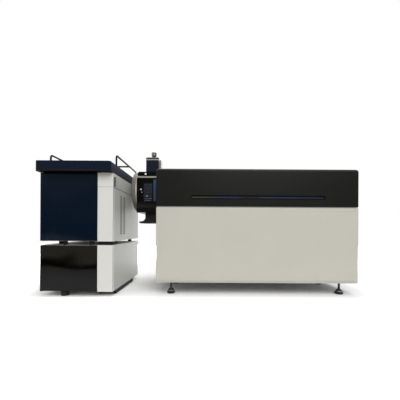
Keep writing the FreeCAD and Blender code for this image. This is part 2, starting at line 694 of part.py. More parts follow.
def module_door(label, bottom, height):
    """A moulded front door, hollow behind, full round at its hinge edge."""
    tall = height - 2 * (S.case_wall + S.door_play)
    wide = S.lc_width - S.strip_width - S.door_play
    door = new_body(label, LEFT, LC_FRONT, bottom + S.case_wall + S.door_play)
    pad(door, "z", 0.0, tall, rect(0.0, 0.0, wide, S.door_thick))
    fillet(door, S.door_thick / 2 - S.hinge_margin, x=0.0, y=(0.0, S.door_thick))
    fillet(door, S.door_round, x=wide, y=0.0)
    block = S.door_thick + S.door_wall
    hollow = rect(block, S.door_wall, wide - S.door_wall, tall - S.door_wall)
    cut(door, "y", S.door_wall, S.door_thick, hollow)
    pull_right = wide - S.pull_inset
    notch = rect(pull_right - S.pull_length, S.door_thick - S.pull_depth, pull_right, S.door_thick)
    cut(door, "z", 0.0, S.door_wall, notch)
    third = (tall - 2 * S.door_wall) / 3
    for level in (S.door_wall + third, S.door_wall + 2 * third):
        rib = rect(block, level, wide - S.door_wall, level + S.door_wall)
        pad(door, "y", S.door_wall, S.door_wall + S.rib_height, rib)
    bore = S.pin_reach + S.door_play
    cut(door, "z", 0.0, bore, disc(PIN_X, PIN_Y, S.pin_radius + S.pin_play))
    cut(door, "z", tall - bore, tall, disc(PIN_X, PIN_Y, S.pin_radius + S.pin_play))
    return door


def module_strip(label, bottom, height):
    """A pale moulded strip beside a door, hollow behind and snapped to its case."""
    strip = new_body(label, LC_RIGHT - S.strip_width, LC_FRONT, bottom)
    deep = S.door_thick + S.door_gap
    wall = S.door_wall
    pad(strip, "z", 0.0, height, rect(0.0, 0.0, S.strip_width, deep))
    fillet(strip, S.strip_round, x=(0.0, S.strip_width), y=0.0)
    cut(strip, "y", wall, deep, rect(wall, wall, S.strip_width - wall, height - wall))
    rib = rect(wall, height / 2, S.strip_width - wall, height / 2 + wall)
    pad(strip, "y", wall, deep - wall, rib)
    return strip


def door_pins():
    """The four steel pins that the two doors turn on."""
    pins = new_body("door_pins", LEFT + PIN_X, LC_FRONT + PIN_Y, 0.0)
    reach = S.case_wall + S.door_play + S.pin_reach
    stations = (S.pump_foot, PUMP_TOP - reach, SAMPLER_BOTTOM, STACK_TOP - reach)
    for low in stations:
        pad(pins, "z", low, low + reach, disc(0.0, 0.0, S.pin_radius))


def pump_case():
    """Case of the pump module with its rear vents, inlet and switch holes."""
    case = module_case("pump_case", S.pump_foot, S.pump_height, ("low", "high"))
    rear_grille(case, S.pump_height / 2)
    inlet_hole(case, CASE_DEPTH, S.case_wall)
    left = S.inlet_left + S.switch_step
    cut(case, "y", CASE_DEPTH - 2 * S.case_wall, CASE_DEPTH, switch_hole(left, S.inlet_level))


def switch_hole(left, low):
    """The outline of a rocker switch's hole."""
    play = S.switch_play
    right = left + S.switch_width
    return rect(left - play, low - play, right + play, low + S.switch_height + play)


def sampler_case():
    """Case of the sampler module with two columns of vent slots in each side."""
    case = module_case("sampler_case", SAMPLER_BOTTOM, S.sampler_height, ("low",))
    near = S.vent_inset
    slots = [rect(left, S.vent_first, left + S.vent_length, S.vent_first + S.vent_tall)
             for left in (near, near + S.vent_step)]
    first = cut(case, "x", 0.0, S.lc_width, *slots)
    repeat(case, [first], "z", S.vent_pitch, S.vent_rows)
    rear_grille(case, S.sampler_height / 2)
    inlet_hole(case, CASE_DEPTH, S.case_wall)


def oven_case():
    """Case of the column oven with two tube ports in its right side."""
    case = module_case("oven_case", OVEN_BOTTOM, S.oven_height, ("high",))
    for low in (S.port_low, S.port_high):
        port = slot(low, low + S.port_tall, S.port_inset, S.port_radius, upright=True)
        cut(case, "x", S.lc_width - 2 * S.case_wall, S.lc_width, port)


def pump_feet():
    """Rubber feet on the left of the pump module and the plinth under its right side."""
    feet = new_body("pump_feet", LEFT, LC_FRONT, 0.0)
    high = S.pump_foot
    pad(feet, "z", 0.0, high, disc(S.foot_inset, S.foot_front, S.foot_radius))
    side = pad(feet, "z", 0.0, high, disc(S.foot_side_inset, S.foot_side_first, S.foot_radius))
    repeat(feet, [side], "y", S.foot_side_step, 2)
    right = S.lc_width - S.case_wall
    back = S.plinth_front + S.plinth_depth
    pad(feet, "z", 0.0, high, rect(S.lc_width - S.plinth_width, S.plinth_front, right, back))
    chamfer(feet, S.foot_flare, z=0.0)


def stack_feet():
    """Feet between the modules and the black spacer under the sampler's strip."""
    feet = new_body("stack_feet", LEFT, LC_FRONT, PUMP_TOP)
    high = S.module_gap
    front = pad(feet, "z", 0.0, high, disc(S.foot_inset, S.foot_front, S.stud_radius))
    repeat(feet, [front], "x", S.lc_width - 2 * S.foot_inset, 2)
    side = pad(feet, "z", 0.0, high, disc(S.foot_side_inset, S.foot_side_first, S.stud_radius))
    across = S.lc_width - 2 * S.foot_side_inset
    repeat(feet, [side], "x", across, 2, ("y", S.foot_side_step, 2))
    left = S.lc_width - S.spacer_width
    spacer = rect(left, S.door_thick, S.lc_width - S.case_wall, S.door_thick + S.spacer_depth)
    pad(feet, "z", 0.0, S.module_gap, spacer)


def inner_plate(label, bottom, height, inset, holes):
    """An upright plate inside a module, with folded edges and round holes."""
    wall = S.case_wall
    wide = S.lc_width - 2 * wall
    tall = height - 2 * wall
    plate = new_body(label, LEFT + wall, CASE_FRONT + inset, bottom + wall)
    thick = S.bulkhead_thick
    pad(plate, "y", 0.0, S.bulkhead_lip, rect(0.0, 0.0, wide, tall))
    inside = rect(thick, thick, wide - thick, tall - thick)
    cut(plate, "y", thick, S.bulkhead_lip, inside)
    for x, level, radius in holes:
        cut(plate, "y", 0.0, thick, disc(x - wall, level - wall, radius))
    return plate


def pump_bulkhead():
    """Inner front plate of the pump module, which carries heads and valve."""
    holes = [(S.head_left + step * S.head_step, S.head_level, S.head_radius / 2) for step in (0, 1)]
    holes.append((S.valve_left, S.valve_level, S.knob_shaft))
    plate = inner_plate("pump_bulkhead", S.pump_foot, S.pump_height, S.bulkhead_inset, holes)
    x = S.degasser_left + S.fitting_step - S.case_wall
    fitting = disc(x, S.degasser_height / 2, S.fitting_radius + S.running_gap)
    first = cut(plate, "y", 0.0, S.bulkhead_thick, fitting)
    repeat(plate, [first], "x", S.fitting_step, S.fitting_count)


def pump_heads():
    """Two steel pump heads, each with a check valve over and under it."""
    y = CASE_FRONT + S.bulkhead_inset
    heads = new_body("pump_heads", LEFT + S.head_left, y, S.pump_foot + S.head_level)
    long = S.head_length
    radius = S.head_radius
    barrel = pad(heads, "y", -long, 0.0, disc(0.0, 0.0, radius))
    collar = pad(heads, "y", -long / 4, 0.0, disc(0.0, 0.0, radius + S.door_wall))
    spigot = pad(heads, "y", 0.0, S.bulkhead_thick, disc(0.0, 0.0, radius / 2))
    reach = radius + S.head_port_tall
    valves = pad(heads, "z", -reach, reach, disc(0.0, -S.head_port_inset, S.head_port_radius))
    repeat(heads, [barrel, collar, spigot, valves], "x", S.head_step, 2)
    chamfer(heads, S.door_wall, y=-long)


def pump_drives():
    """Drive housings behind the inner plate, each with its motor."""
    y = CASE_FRONT + S.bulkhead_inset + S.bulkhead_thick
    left = LEFT + S.head_left - S.drive_width / 2
    drives = new_body("pump_drives", left, y, S.pump_foot + S.head_level - S.drive_height / 2)
    housing = pad(drives, "y", 0.0, S.drive_depth, rect(0.0, 0.0, S.drive_width, S.drive_height))
    centre = disc(S.drive_width / 2, S.drive_height / 2, S.motor_radius)
    motor = pad(drives, "y", S.drive_depth, S.drive_depth + S.motor_length, centre)
    foot_low = -(S.head_level - S.drive_height / 2 - S.case_wall)
    foot = rect(0.0, S.bulkhead_lip - S.bulkhead_thick, S.drive_width, S.drive_depth / 3)
    leg = pad(drives, "z", foot_low, 0.0, foot)
    repeat(drives, [housing, motor, leg], "x", S.head_step, 2)


def purge_valve():
    """Purge valve block with the bore for its knob's shaft and three tube ports."""
    y = CASE_FRONT + S.bulkhead_inset
    valve = new_body("purge_valve", LEFT + S.valve_left, y, S.pump_foot + S.valve_level)
    half = S.valve_side / 2
    reach = half + S.fitting_length
    pad(valve, "y", -S.valve_length, 0.0, rect(-half, -half, half, half))
    chamfer(valve, S.door_wall, x=(-half, half), z=(-half, half))
    pad(valve, "x", -reach, reach, disc(-S.valve_length / 2, 0.0, S.fitting_radius))
    cut(valve, "y", -S.valve_length, -S.valve_length / 4, disc(0.0, 0.0, S.knob_shaft + S.pin_play))


def purge_knob():
    """Knurled knob of the purge valve with its shaft."""
    y = CASE_FRONT + S.bulkhead_inset - S.valve_length
    knob = new_body("purge_knob", LEFT + S.valve_left, y, S.pump_foot + S.valve_level)
    gap = S.running_gap
    back = -gap
    pad(knob, "y", back - S.knob_length, back, disc(0.0, 0.0, S.knob_radius))
    chamfer(knob, S.case_wall, y=back - S.knob_length)
    pad(knob, "y", back, S.knob_reach, disc(0.0, 0.0, S.knob_shaft))
    groove = disc(S.knob_radius, 0.0, S.case_wall)
    first = cut(knob, "y", back - S.knob_length, back, groove)
    ring_of(knob, [first], "y", S.knob_flutes)


def degasser():
    """Degasser box behind the inner plate, with tube fittings that reach through the plate."""
    y = CASE_FRONT + S.bulkhead_inset + S.bulkhead_lip
    box = new_body("degasser", LEFT + S.degasser_left, y, S.pump_foot + S.case_wall)
    high = S.degasser_height
    pad(box, "z", 0.0, high, rect(0.0, 0.0, S.degasser_width, S.degasser_depth))
    fillet(box, S.door_wall, z=high, x=(0.0, S.degasser_width))
    reach = S.bulkhead_lip + S.fitting_length
    first = pad(box, "y", -reach, 0.0, disc(S.fitting_step, high / 2, S.fitting_radius))
    repeat(box, [first], "x", S.fitting_step, S.fitting_count)


def cooling_deck():
    """Finned aluminium plate that cools the vial rack."""
    wall = S.case_wall
    deck = new_body("cooling_deck", LEFT + S.rack_left, CASE_FRONT + S.rack_front, SAMPLER_BOTTOM + wall)
    high = S.cooler_height
    pad(deck, "z", 0.0, high, rect(0.0, 0.0, S.rack_width, S.rack_depth))
    pitch = (S.rack_width - S.cooler_fin) / (S.cooler_fins - 1)
    groove = rect(S.cooler_fin, 0.0, pitch, high - S.cooler_web)
    first = cut(deck, "y", 0.0, S.rack_depth, groove)
    repeat(deck, [first], "x", pitch, S.cooler_fins - 1)


def vial_rack():
    """Vial rack with a grid of round pockets and a raised grip at each end."""
    z = SAMPLER_BOTTOM + S.case_wall + S.cooler_height
    rack = new_body("vial_rack", LEFT + S.rack_left, CASE_FRONT + S.rack_front, z)
    wide = S.rack_width
    deep = S.rack_depth
    pad(rack, "z", 0.0, S.rack_height, rect(0.0, 0.0, wide, deep))
    fillet(rack, S.strip_round, x=(0.0, wide), y=(0.0, deep))
    first_x = (wide - (S.vial_columns - 1) * S.vial_pitch) / 2
    first_y = (deep - (S.vial_lines - 1) * S.vial_pitch) / 2
    high = S.rack_height
    pocket = cut(rack, "z", high - S.vial_depth, high, disc(first_x, first_y, S.vial_radius))
    repeat(rack, [pocket], "x", S.vial_pitch, S.vial_columns, ("y", S.vial_pitch, S.vial_lines))


def sampler_bulkhead():
    """Rear wall of the sampler's chamber."""
    inner_plate("sampler_bulkhead", SAMPLER_BOTTOM, S.sampler_height, S.chamber_depth, [])


def carriage_frame():
    """Front, left and floor of the space in which the needle carriage runs."""
    return CASE_FRONT + S.chamber_depth, LEFT + S.case_wall, SAMPLER_BOTTOM


def gantry_rail():
    """T-shaped rail across the sampler that the needle carriage runs on."""
    y, x, z = carriage_frame()
    rail = new_body("gantry_rail", x, y - S.rail_depth, z + S.rail_level)
    long = S.lc_width - 2 * S.case_wall
    stem = S.rail_height / 3
    deep = S.rail_depth
    profile = polygon((0.0, 0.0), (deep / 2, 0.0), (deep / 2, stem), (deep, stem), (deep, 2 * stem),
                      (deep / 2, 2 * stem), (deep / 2, S.rail_height), (0.0, S.rail_height))
    pad(rail, "x", 0.0, long, profile)


def needle_carriage():
    """Carriage that hooks round the rail and holds the needle arm's two guide rods."""
    y, x, z = carriage_frame()
    wall = S.carriage_wall
    gap = S.running_gap
    front = y - S.rail_depth - gap - wall
    carriage = new_body("needle_carriage", x + S.carriage_left, front, z + S.rail_level)
    wide = S.carriage_width
    hook_back = wall + gap + S.rail_depth / 2 - gap
    high = S.rail_height + gap
    plate = polygon((0.0, -gap - wall), (hook_back, -gap - wall), (hook_back, -gap), (wall, -gap),
                    (wall, high), (hook_back, high), (hook_back, high + wall), (0.0, high + wall))
    pad(carriage, "x", 0.0, wide, plate)
    drop = S.guide_tall
    middle = wide / 2
    for side in (-1, 1):
        rod = disc(middle + side * S.slide_spread / 2, -S.slide_radius - wall, S.slide_radius)
        pad(carriage, "z", -drop, high + wall, rod)
    low_bar = rect(0.0, -2 * S.slide_radius - 2 * wall, wide, -wall / 2)
    pad(carriage, "z", -drop - wall, -drop, low_bar)
    top_bar = rect(0.0, -2 * S.slide_radius - 2 * wall, wide, wall)
    pad(carriage, "z", high + wall, high + 2 * wall, top_bar)


def needle_arm():
    """Block that slides on the guide rods and carries the sampling needle."""
    y, x, z = carriage_frame()
    wall = S.carriage_wall
    front = y - S.rail_depth - S.running_gap - wall
    low = z + S.rail_level - S.guide_tall + S.arm_rest
    arm = new_body("needle_arm", x + S.carriage_left + S.carriage_width / 2, front, low)
    half = S.carriage_width / 2
    back = -S.running_gap - wall / 2
    last_line = S.rack_front + S.rack_depth / 2 + (S.vial_lines - 1) * S.vial_pitch / 2
    needle_y = last_line - (S.chamber_depth - S.rail_depth - S.running_gap - wall)
    pad(arm, "z", 0.0, S.arm_height, rect(-half, needle_y - S.arm_nose, half, back))
    for side in (-1, 1):
        hole = disc(side * S.slide_spread / 2, -S.slide_radius - wall, S.slide_radius + S.pin_play)
        cut(arm, "z", 0.0, S.arm_height, hole)
    pad(arm, "z", -S.needle_length, 0.0, disc(0.0, needle_y, S.needle_radius))


def injection_valve():
    """Injection valve: a turned body on a round motor flange, with ports round its face."""
    x = LEFT + S.lc_width - S.injector_right
    y = CASE_FRONT + S.chamber_depth
    valve = new_body("injection_valve", x, y, SAMPLER_BOTTOM + S.injector_level)
    long = S.injector_length
    radius = S.injector_radius
    neck = S.injector_neck
    turned(valve, "y", (0.0, 0.0), (radius, 0.0), (radius, -long / 3), (neck, -long / 2), (neck, -long),
           (0.0, -long))
    port = cut(valve, "y", -long, -long + S.door_wall, disc(radius / 2, 0.0, S.case_wall))
    ring_of(valve, [port], "y", S.injector_ports)


def oven_strip_and_block():
    """Pale strip, heated block with its groove, and the separation column in the groove."""
    module_strip("oven_strip", OVEN_BOTTOM, S.oven_height)
    x = LEFT + (S.lc_width - S.oven_block_width) / 2
    y = CASE_FRONT + S.oven_block_inset
    z = OVEN_BOTTOM + S.case_wall
    block = new_body("oven_block", x, y, z)
    high = S.oven_block_height
    pad(block, "z", 0.0, high, rect(0.0, 0.0, S.oven_block_width, S.oven_block_depth))
    groove_radius = S.column_nut + S.column_play
    middle = S.oven_block_depth / 2
    groove = rect(middle - groove_radius, high - groove_radius, middle + groove_radius, high)
    cut(block, "x", 0.0, S.oven_block_width, groove)
    column_x = x + (S.oven_block_width - S.column_length) / 2
    column = new_body("column", column_x, y + middle, z + high)
    nut = S.column_nut
    end = S.column_nut_length
    thin = S.column_radius
    long = S.column_length
    profile = [(0.0, 0.0), (nut, 0.0), (nut, end), (thin, end), (thin, long - end), (nut, long - end),
               (nut, long), (0.0, long)]
    turned(column, "x", *profile)


def solvent_tray():
    """Open tray on the stack, rounded at its upright corners and round its rim."""
    tray = new_body("solvent_tray", LEFT, FRONT, STACK_TOP)
    wide = S.lc_width
    deep = S.tray_overhang + S.lc_depth
    wall = S.tray_wall
    pad(tray, "z", 0.0, S.tray_height, rect(0.0, 0.0, wide, deep))
    fillet(tray, S.tray_round, x=(0.0, wide), y=(0.0, deep))
    fillet(tray, S.tray_lip, z=S.tray_height)
    cut(tray, "z", wall, S.tray_height, rect(wall, wall, wide - wall, deep - wall))


def tray_rails():
    """Two bent wire rails that stand on the tray's floor, joined by a crossbar."""
    rail = new_body("tray_rails", LEFT + S.rail_inset, FRONT, STACK_TOP + S.tray_wall)
    top = S.tray_height - S.tray_wall + S.rail_rise
    near = S.rail_front
    far = S.rail_back
    bend = S.rail_bend
    path = rail.newObject("Sketcher::SketchObject", "tray_rails_path")
    path.AttachmentSupport = (origin_part(rail, "YZ_Plane"), [""])
    path.MapMode = "FlatFace"
    draw_bow(path, near, far, top, bend)
    ring = outline_sketch(rail, "XY_Plane", 0.0, [disc(0.0, near, S.rail_radius)])
    wire = rail.newObject("PartDesign::AdditivePipe", "tray_rails_wire")
    wire.Profile = ring
    wire.Spine = (path, [])
    span = S.lc_width - 2 * S.rail_inset
    repeat(rail, [wire], "x", span, 2)
    pad(rail, "x", 0.0, span, disc(S.rail_cross, top, S.rail_radius))


def draw_bow(path, near, far, top, bend):
    """An open path: up, over a bend, along, over a bend and down."""
    corners = [((near, 0.0), (near, top - bend)), ((near + bend, top), (far - bend, top)),
               ((far, top - bend), (far, 0.0))]
    for start, end in corners:
        line = path.addGeometry(Part.LineSegment(vector(*start), vector(*end)), False)
        pin(path, line, 1, *start)
        pin(path, line, 2, *end)
    slant = bend * (1 - math.sqrt(0.5))
    bends = [((near, top - bend), (near + slant, top - slant), (near + bend, top), near + bend),
             ((far - bend, top), (far - slant, top - slant), (far, top - bend), far - bend)]
    for index, (start, middle, end, centre) in enumerate(bends):
        arc = path.addGeometry(Part.Arc(vector(*start), vector(*middle), vector(*end)), False)
        path.addConstraint(Sketcher.Constraint("Coincident", index, 2, arc, 2))
        path.addConstraint(Sketcher.Constraint("Coincident", index + 1, 1, arc, 1))
        pin(path, arc, CENTRE_POINT, centre, None)


# Ion source
def source_flange():
    """Round flange on the left of the source, dished, with a hub and a bright rim."""
    flange = new_body("source_flange", FLANGE_LEFT, SOURCE_FRONT + S.source_depth / 2, S.flange_level)
    radius = S.flange_radius
    thick = S.flange_thick
    rim = S.flange_rim
    dish = S.flange_dish
    hub = S.flange_hub
    edge = S.flange_edge
    turned(flange, "x", (0.0, 0.0), (hub, 0.0), (hub, dish), (radius - 2 * rim, dish), (radius - rim, 0.0),
           (radius - edge, 0.0), (radius, edge), (radius, thick - edge), (radius - edge, thick),
           (0.0, thick))
    bolt = cut(flange, "x", 0.0, thick / 2, disc(0.0, radius - 2 * rim, rim / 2))
    ring_of(flange, [bolt], "x", S.flange_bolts)


def source_housing():
    """Cast housing with the spray chamber behind its door and a ribbed band below it."""
    house = new_body("source_housing", SOURCE_LEFT, SOURCE_FRONT, S.source_level)
    wide = S.source_width
    deep = S.source_depth
    high = S.source_height
    wall = S.source_wall
    pad(house, "z", 0.0, high, rect(0.0, 0.0, wide, deep))
    low = S.hatch_level + wall
    inside = rect(wall, low, S.hatch_left + S.hatch_width - wall, S.hatch_level + S.hatch_height - wall)
    cut(house, "y", 0.0, S.source_cavity, inside)
    seat = rect(S.hatch_left - S.door_play, S.hatch_level - S.door_play,
                S.hatch_left + S.hatch_width + S.door_play, high)
    cut(house, "y", 0.0, S.hatch_thick + S.running_gap, seat)
    groove = rect(0.0, S.band_level, wide, S.band_level + S.band_groove)
    band = cut(house, "y", 0.0, S.band_depth, groove)
    repeat(house, [band], "z", S.band_pitch, S.band_grooves)
    level = S.ion_level - S.source_level
    right = S.hatch_left + S.hatch_width - wall
    cut(house, "x", right, wide, disc(ION_Y - S.source_setback, level, S.cone_hole))
    sprayer_hole(house, S.hatch_level + S.hatch_height - wall, high)
    pin_x, pin_y = hatch_axis()
    seat_floor = S.hatch_level - S.door_play
    cut(house, "z", seat_floor - S.hinge_reach, seat_floor, disc(pin_x, pin_y, S.hinge_pin + S.pin_play))


def hatch_axis():
    """The source door's hinge axis in the housing's own plan."""
    return S.hatch_left + S.hatch_thick / 2, S.hatch_thick / 2


def source_door():
    """Moulded door of the spray chamber with its window opening and a hinge pin at each end."""
    z = S.source_level + S.hatch_level
    door = new_body("source_door", SOURCE_LEFT + S.hatch_left, SOURCE_FRONT, z)
    wide = S.hatch_width
    high = S.hatch_height
    thick = S.hatch_thick
    pad(door, "z", 0.0, high, rect(0.0, 0.0, wide, thick))
    fillet(door, thick / 2 - S.hinge_margin, x=0.0, y=(0.0, thick))
    fillet(door, S.hatch_round, x=wide, y=0.0)
    left = S.window_inset
    low = S.window_level
    pane = rect(left, low, left + S.window_width, low + S.window_height)
    cut(door, "y", 0.0, S.window_thick, pane)
    ledge = S.window_ledge
    hole = rect(left + ledge, low + ledge, left + S.window_width - ledge, low + S.window_height - ledge)
    cut(door, "y", 0.0, thick, hole)
    pin_x = thick / 2
    top = S.source_height - S.hatch_level + S.bar_height / 2
    pad(door, "z", -S.hinge_reach, 0.0, disc(pin_x, pin_x, S.hinge_pin))
    pad(door, "z", high, top, disc(pin_x, pin_x, S.hinge_pin))


def source_window():
    """Glass pane that rests on the ledge in the source door."""
    x = SOURCE_LEFT + S.hatch_left + S.window_inset
    z = S.source_level + S.hatch_level + S.window_level
    pane = new_body("source_window", x, SOURCE_FRONT, z)
    pad(pane, "y", 0.0, S.window_thick, rect(0.0, 0.0, S.window_width, S.window_height))
    chamfer(pane, S.hinge_margin, y=0.0)


def source_handle():
    """Upright strip handle on the free edge of the source door, hollowed for the fingers."""
    x = SOURCE_LEFT + S.hatch_left + S.hatch_width - S.handle_width - S.hatch_round
    z = S.source_level + S.hatch_level + S.window_level
    grip = new_body("source_handle", x, SOURCE_FRONT - S.handle_thick, z)
    wide = S.handle_width
    high = S.handle_height
    pad(grip, "z", 0.0, high, rect(0.0, 0.0, wide, S.handle_thick))
    fillet(grip, S.case_wall, x=(0.0, wide), y=0.0)
    hollow = slot(high / 4, high - high / 4, S.handle_thick / 2, S.case_wall, upright=True)
    cut(grip, "x", wide - S.door_wall, wide, hollow)


def source_bar():
    """Pale plate over the housing, with the upright grey post beside the probe box."""
    bar = new_body("source_bar", SOURCE_LEFT, SOURCE_FRONT, SOURCE_TOP)
    pad(bar, "z", 0.0, S.bar_height, rect(0.0, 0.0, S.source_width, S.source_depth))
    chamfer(bar, S.door_wall, z=S.bar_height, y=0.0)
    pin_x, pin_y = hatch_axis()
    cut(bar, "z", 0.0, S.bar_height / 2 + S.door_play, disc(pin_x, pin_y, S.hinge_pin + S.pin_play))
    sprayer_hole(bar, 0.0, S.bar_height)
    left = S.probe_left + S.probe_width + S.post_gap
    low = S.bar_height
    high = S.bar_height + S.head_height + S.probe_height
    post = rect(left, S.probe_setback, left + S.post_width, S.probe_setback + S.post_depth)
    pad(bar, "z", low, high, post)


def sprayer_hole(body, low, high):
    """The upright hole that the sprayer passes through."""
    x = S.probe_left + S.probe_width / 2
    y = S.probe_setback + S.probe_depth / 2
    cut(body, "z", low, high, disc(x, y, S.sprayer_radius + S.running_gap))


def source_head():
    """Dark head over the pale plate, rounded along its upper left edge."""
    left = S.source_head_inset
    head = new_body("source_head", SOURCE_LEFT, SOURCE_FRONT, SOURCE_TOP + S.bar_height)
    right = S.probe_left + S.probe_width
    pad(head, "z", 0.0, S.head_height, rect(left, 0.0, right, S.source_head_depth))
    fillet(head, S.source_head_round, x=left, z=S.head_height)
    sprayer_hole(head, 0.0, S.head_height)


def probe_box():
    """Hollow box of the probe, open below, over the sprayer."""
    z = SOURCE_TOP + S.bar_height + S.head_height
    box = new_body("probe_box", SOURCE_LEFT + S.probe_left, SOURCE_FRONT + S.probe_setback, z)
    wide = S.probe_width
    deep = S.probe_depth
    high = S.probe_height
    wall = S.door_wall
    pad(box, "z", 0.0, high, rect(0.0, 0.0, wide, deep))
    fillet(box, S.probe_round, x=(0.0, wide), y=(0.0, deep))
    cut(box, "z", 0.0, high - 2 * wall, rect(wall, wall, wide - wall, deep - wall))
    line = rect(S.probe_round, high / 2, wide - S.probe_round, high / 2 + S.case_wall)
    groove = cut(box, "y", 0.0, S.case_wall / 2, line)
    cut(box, "z", 0.0, high, disc(wide / 2, deep / 2, S.sprayer_radius + S.running_gap))
    return groove


def probe_cap():
    """Pale band, chamfered dark cap and turned stem over the probe box."""
    z = SOURCE_TOP + S.bar_height + S.head_height + S.probe_height
    cap = new_body("probe_cap", SOURCE_LEFT + S.probe_left, SOURCE_FRONT + S.probe_setback, z)
    wide = S.probe_width
    deep = S.probe_depth
    band = S.band_height
    top = band + S.cap_height
    margin = S.hinge_margin
    pad(cap, "z", 0.0, band, rect(margin, margin, wide - margin, deep - margin))
    pad(cap, "z", band, top, rect(0.0, 0.0, wide, deep))
    chamfer(cap, S.cap_chamfer, z=top)
    middle = disc(wide / 2, deep / 2, S.stem_radius)
    pad(cap, "z", top, top + S.stem_height, middle)
    cut(cap, "z", top, top + S.stem_height, disc(wide / 2, deep / 2, S.probe_shaft + S.pin_play))


def probe_axis():
    """The sprayer's upright axis in the whole instrument's frame."""
    x = SOURCE_LEFT + S.probe_left + S.probe_width / 2
    return x, SOURCE_FRONT + S.probe_setback + S.probe_depth / 2


def probe_knob():
    """Polished adjusting knob with a grooved rim and a shaft in the stem."""
    x, y = probe_axis()
    head_top = SOURCE_TOP + S.bar_height + S.head_height
    z = head_top + S.probe_height + S.band_height + S.cap_height + S.stem_height
    knob = new_body("probe_knob", x, y, z)
    radius = S.probe_knob_radius
    tall = S.probe_knob_height
    gap = S.running_gap
    edge = S.door_round
    turned(knob, "z", (0.0, gap), (radius - edge, gap), (radius, gap + edge), (radius, tall - edge),
           (radius - edge, tall), (0.0, tall))
    pad(knob, "z", -S.stem_height / 2, gap, disc(0.0, 0.0, S.probe_shaft))
    groove = cut(knob, "z", gap, tall, disc(radius + S.door_play, 0.0, S.case_wall))
    ring_of(knob, [groove], "z", S.probe_knob_grooves)


def sprayer():
    """Sprayer tube from the probe box down into the spray chamber, conical at its tip."""
    x, y = probe_axis()
    tube = new_body("sprayer", x, y, SOURCE_TOP)
    top = S.bar_height + S.head_height + S.probe_height
    drop = -(S.source_wall + S.sprayer_drop)
    radius = S.sprayer_radius
    cone = drop + S.sprayer_cone
    turned(tube, "z", (0.0, drop), (S.sprayer_tip, drop), (radius, cone), (radius, top), (0.0, top))
    return tube


def source_bracket():
    """Black bracket under the housing: a foot plate, a column and a hollow curve between them."""
    deep = S.bracket_depth
    y = SOURCE_FRONT + (S.source_depth - deep) / 2
    bracket = new_body("source_bracket", MS_LEFT, y, S.bracket_level)
    tall = S.source_level - S.bracket_level
    plate = S.bracket_plate
    profile = polygon((0.0, 0.0), (0.0, tall), (-S.bracket_column, tall), (-S.bracket_column, plate),
                      (-S.bracket_reach, plate), (-S.bracket_reach, 0.0))
    pad(bracket, "y", 0.0, deep, profile)
    fillet(bracket, S.bracket_fillet, x=-S.bracket_column, z=plate)
    fillet(bracket, S.door_wall, x=-S.bracket_reach, z=(0.0, plate))


def sampling_cone():
    """Sampling cone from the vacuum chamber through the hood and the housing to its fine inlet."""
    cone = new_body("sampling_cone", MS_LEFT, MS_FRONT + ION_Y, S.ion_level)
    wall = S.source_width - (S.hatch_left + S.hatch_width - S.source_wall)
    base = S.cone_radius
    tip = -(wall + S.cone_reach)
    start = S.chamber_left
    bore = S.cone_tip / 2
    turned(cone, "x", (bore, start), (base, start), (base, -wall), (S.cone_tip, tip), (bore, tip))


# Analyser cabinet
def ms_base():
    """Folded base pan with a hole for each levelling foot."""
    z = S.ms_foot
    base = new_body("ms_base", MS_LEFT, MS_FRONT, z)
    wall = S.shell_wall
    thick = S.base_thick
    left, right = wall, S.ms_width - wall
    near, far = S.panel_thick, S.ms_depth - wall
    pad(base, "z", 0.0, S.base_rim, rect(left, near, right, far))
    inside = rect(left + wall, near + wall, right - wall, far - wall)
    cut(base, "z", thick, S.base_rim, inside)
    bore = S.leveller_stem + S.pin_play
    hole = cut(base, "z", 0.0, thick, disc(S.leveller_inset, S.leveller_front, bore))
    foot_rows(base, [hole])


def foot_rows(body, features):
    """Copies of a levelling foot's feature at every foot."""
    across = S.ms_width - 2 * S.leveller_inset
    along = (S.ms_depth - 2 * S.leveller_front) / (S.leveller_rows - 1)
    repeat(body, features, "x", across, 2, ("y", along, S.leveller_rows))


def ms_feet():
    """Levelling feet: a pad and cone with a stem through the base, and a lock nut under the base."""
    x = MS_LEFT + S.leveller_inset
    feet = new_body("ms_feet", x, MS_FRONT + S.leveller_front, 0.0)
    top = S.ms_foot + S.base_thick + S.leveller_top
    neck = S.leveller_stem
    pad_top = S.leveller_pad
    cone_top = pad_top + S.leveller_cone
    edge = S.leveller_edge
    foot = turned(feet, "z", (0.0, 0.0), (S.leveller_radius - edge, 0.0), (S.leveller_radius, edge),
                  (S.leveller_radius, pad_top), (2 * neck, cone_top), (neck, cone_top), (neck, top),
                  (0.0, top))
    across = S.ms_width - 2 * S.leveller_inset
    along = (S.ms_depth - 2 * S.leveller_front) / (S.leveller_rows - 1)
    low = S.ms_foot - S.leveller_nut_tall
    reach = S.leveller_nut
    slant = reach * math.sin(math.pi / NUT_SIDES * 2)
    hexagon = polygon((reach, 0.0), (reach / 2, slant), (-reach / 2, slant), (-reach, 0.0),
                      (-reach / 2, -slant), (reach / 2, -slant))
    nut = pad(feet, "z", low, S.ms_foot, hexagon)
    repeat(feet, [foot, nut], "x", across, 2, ("y", along, S.leveller_rows))


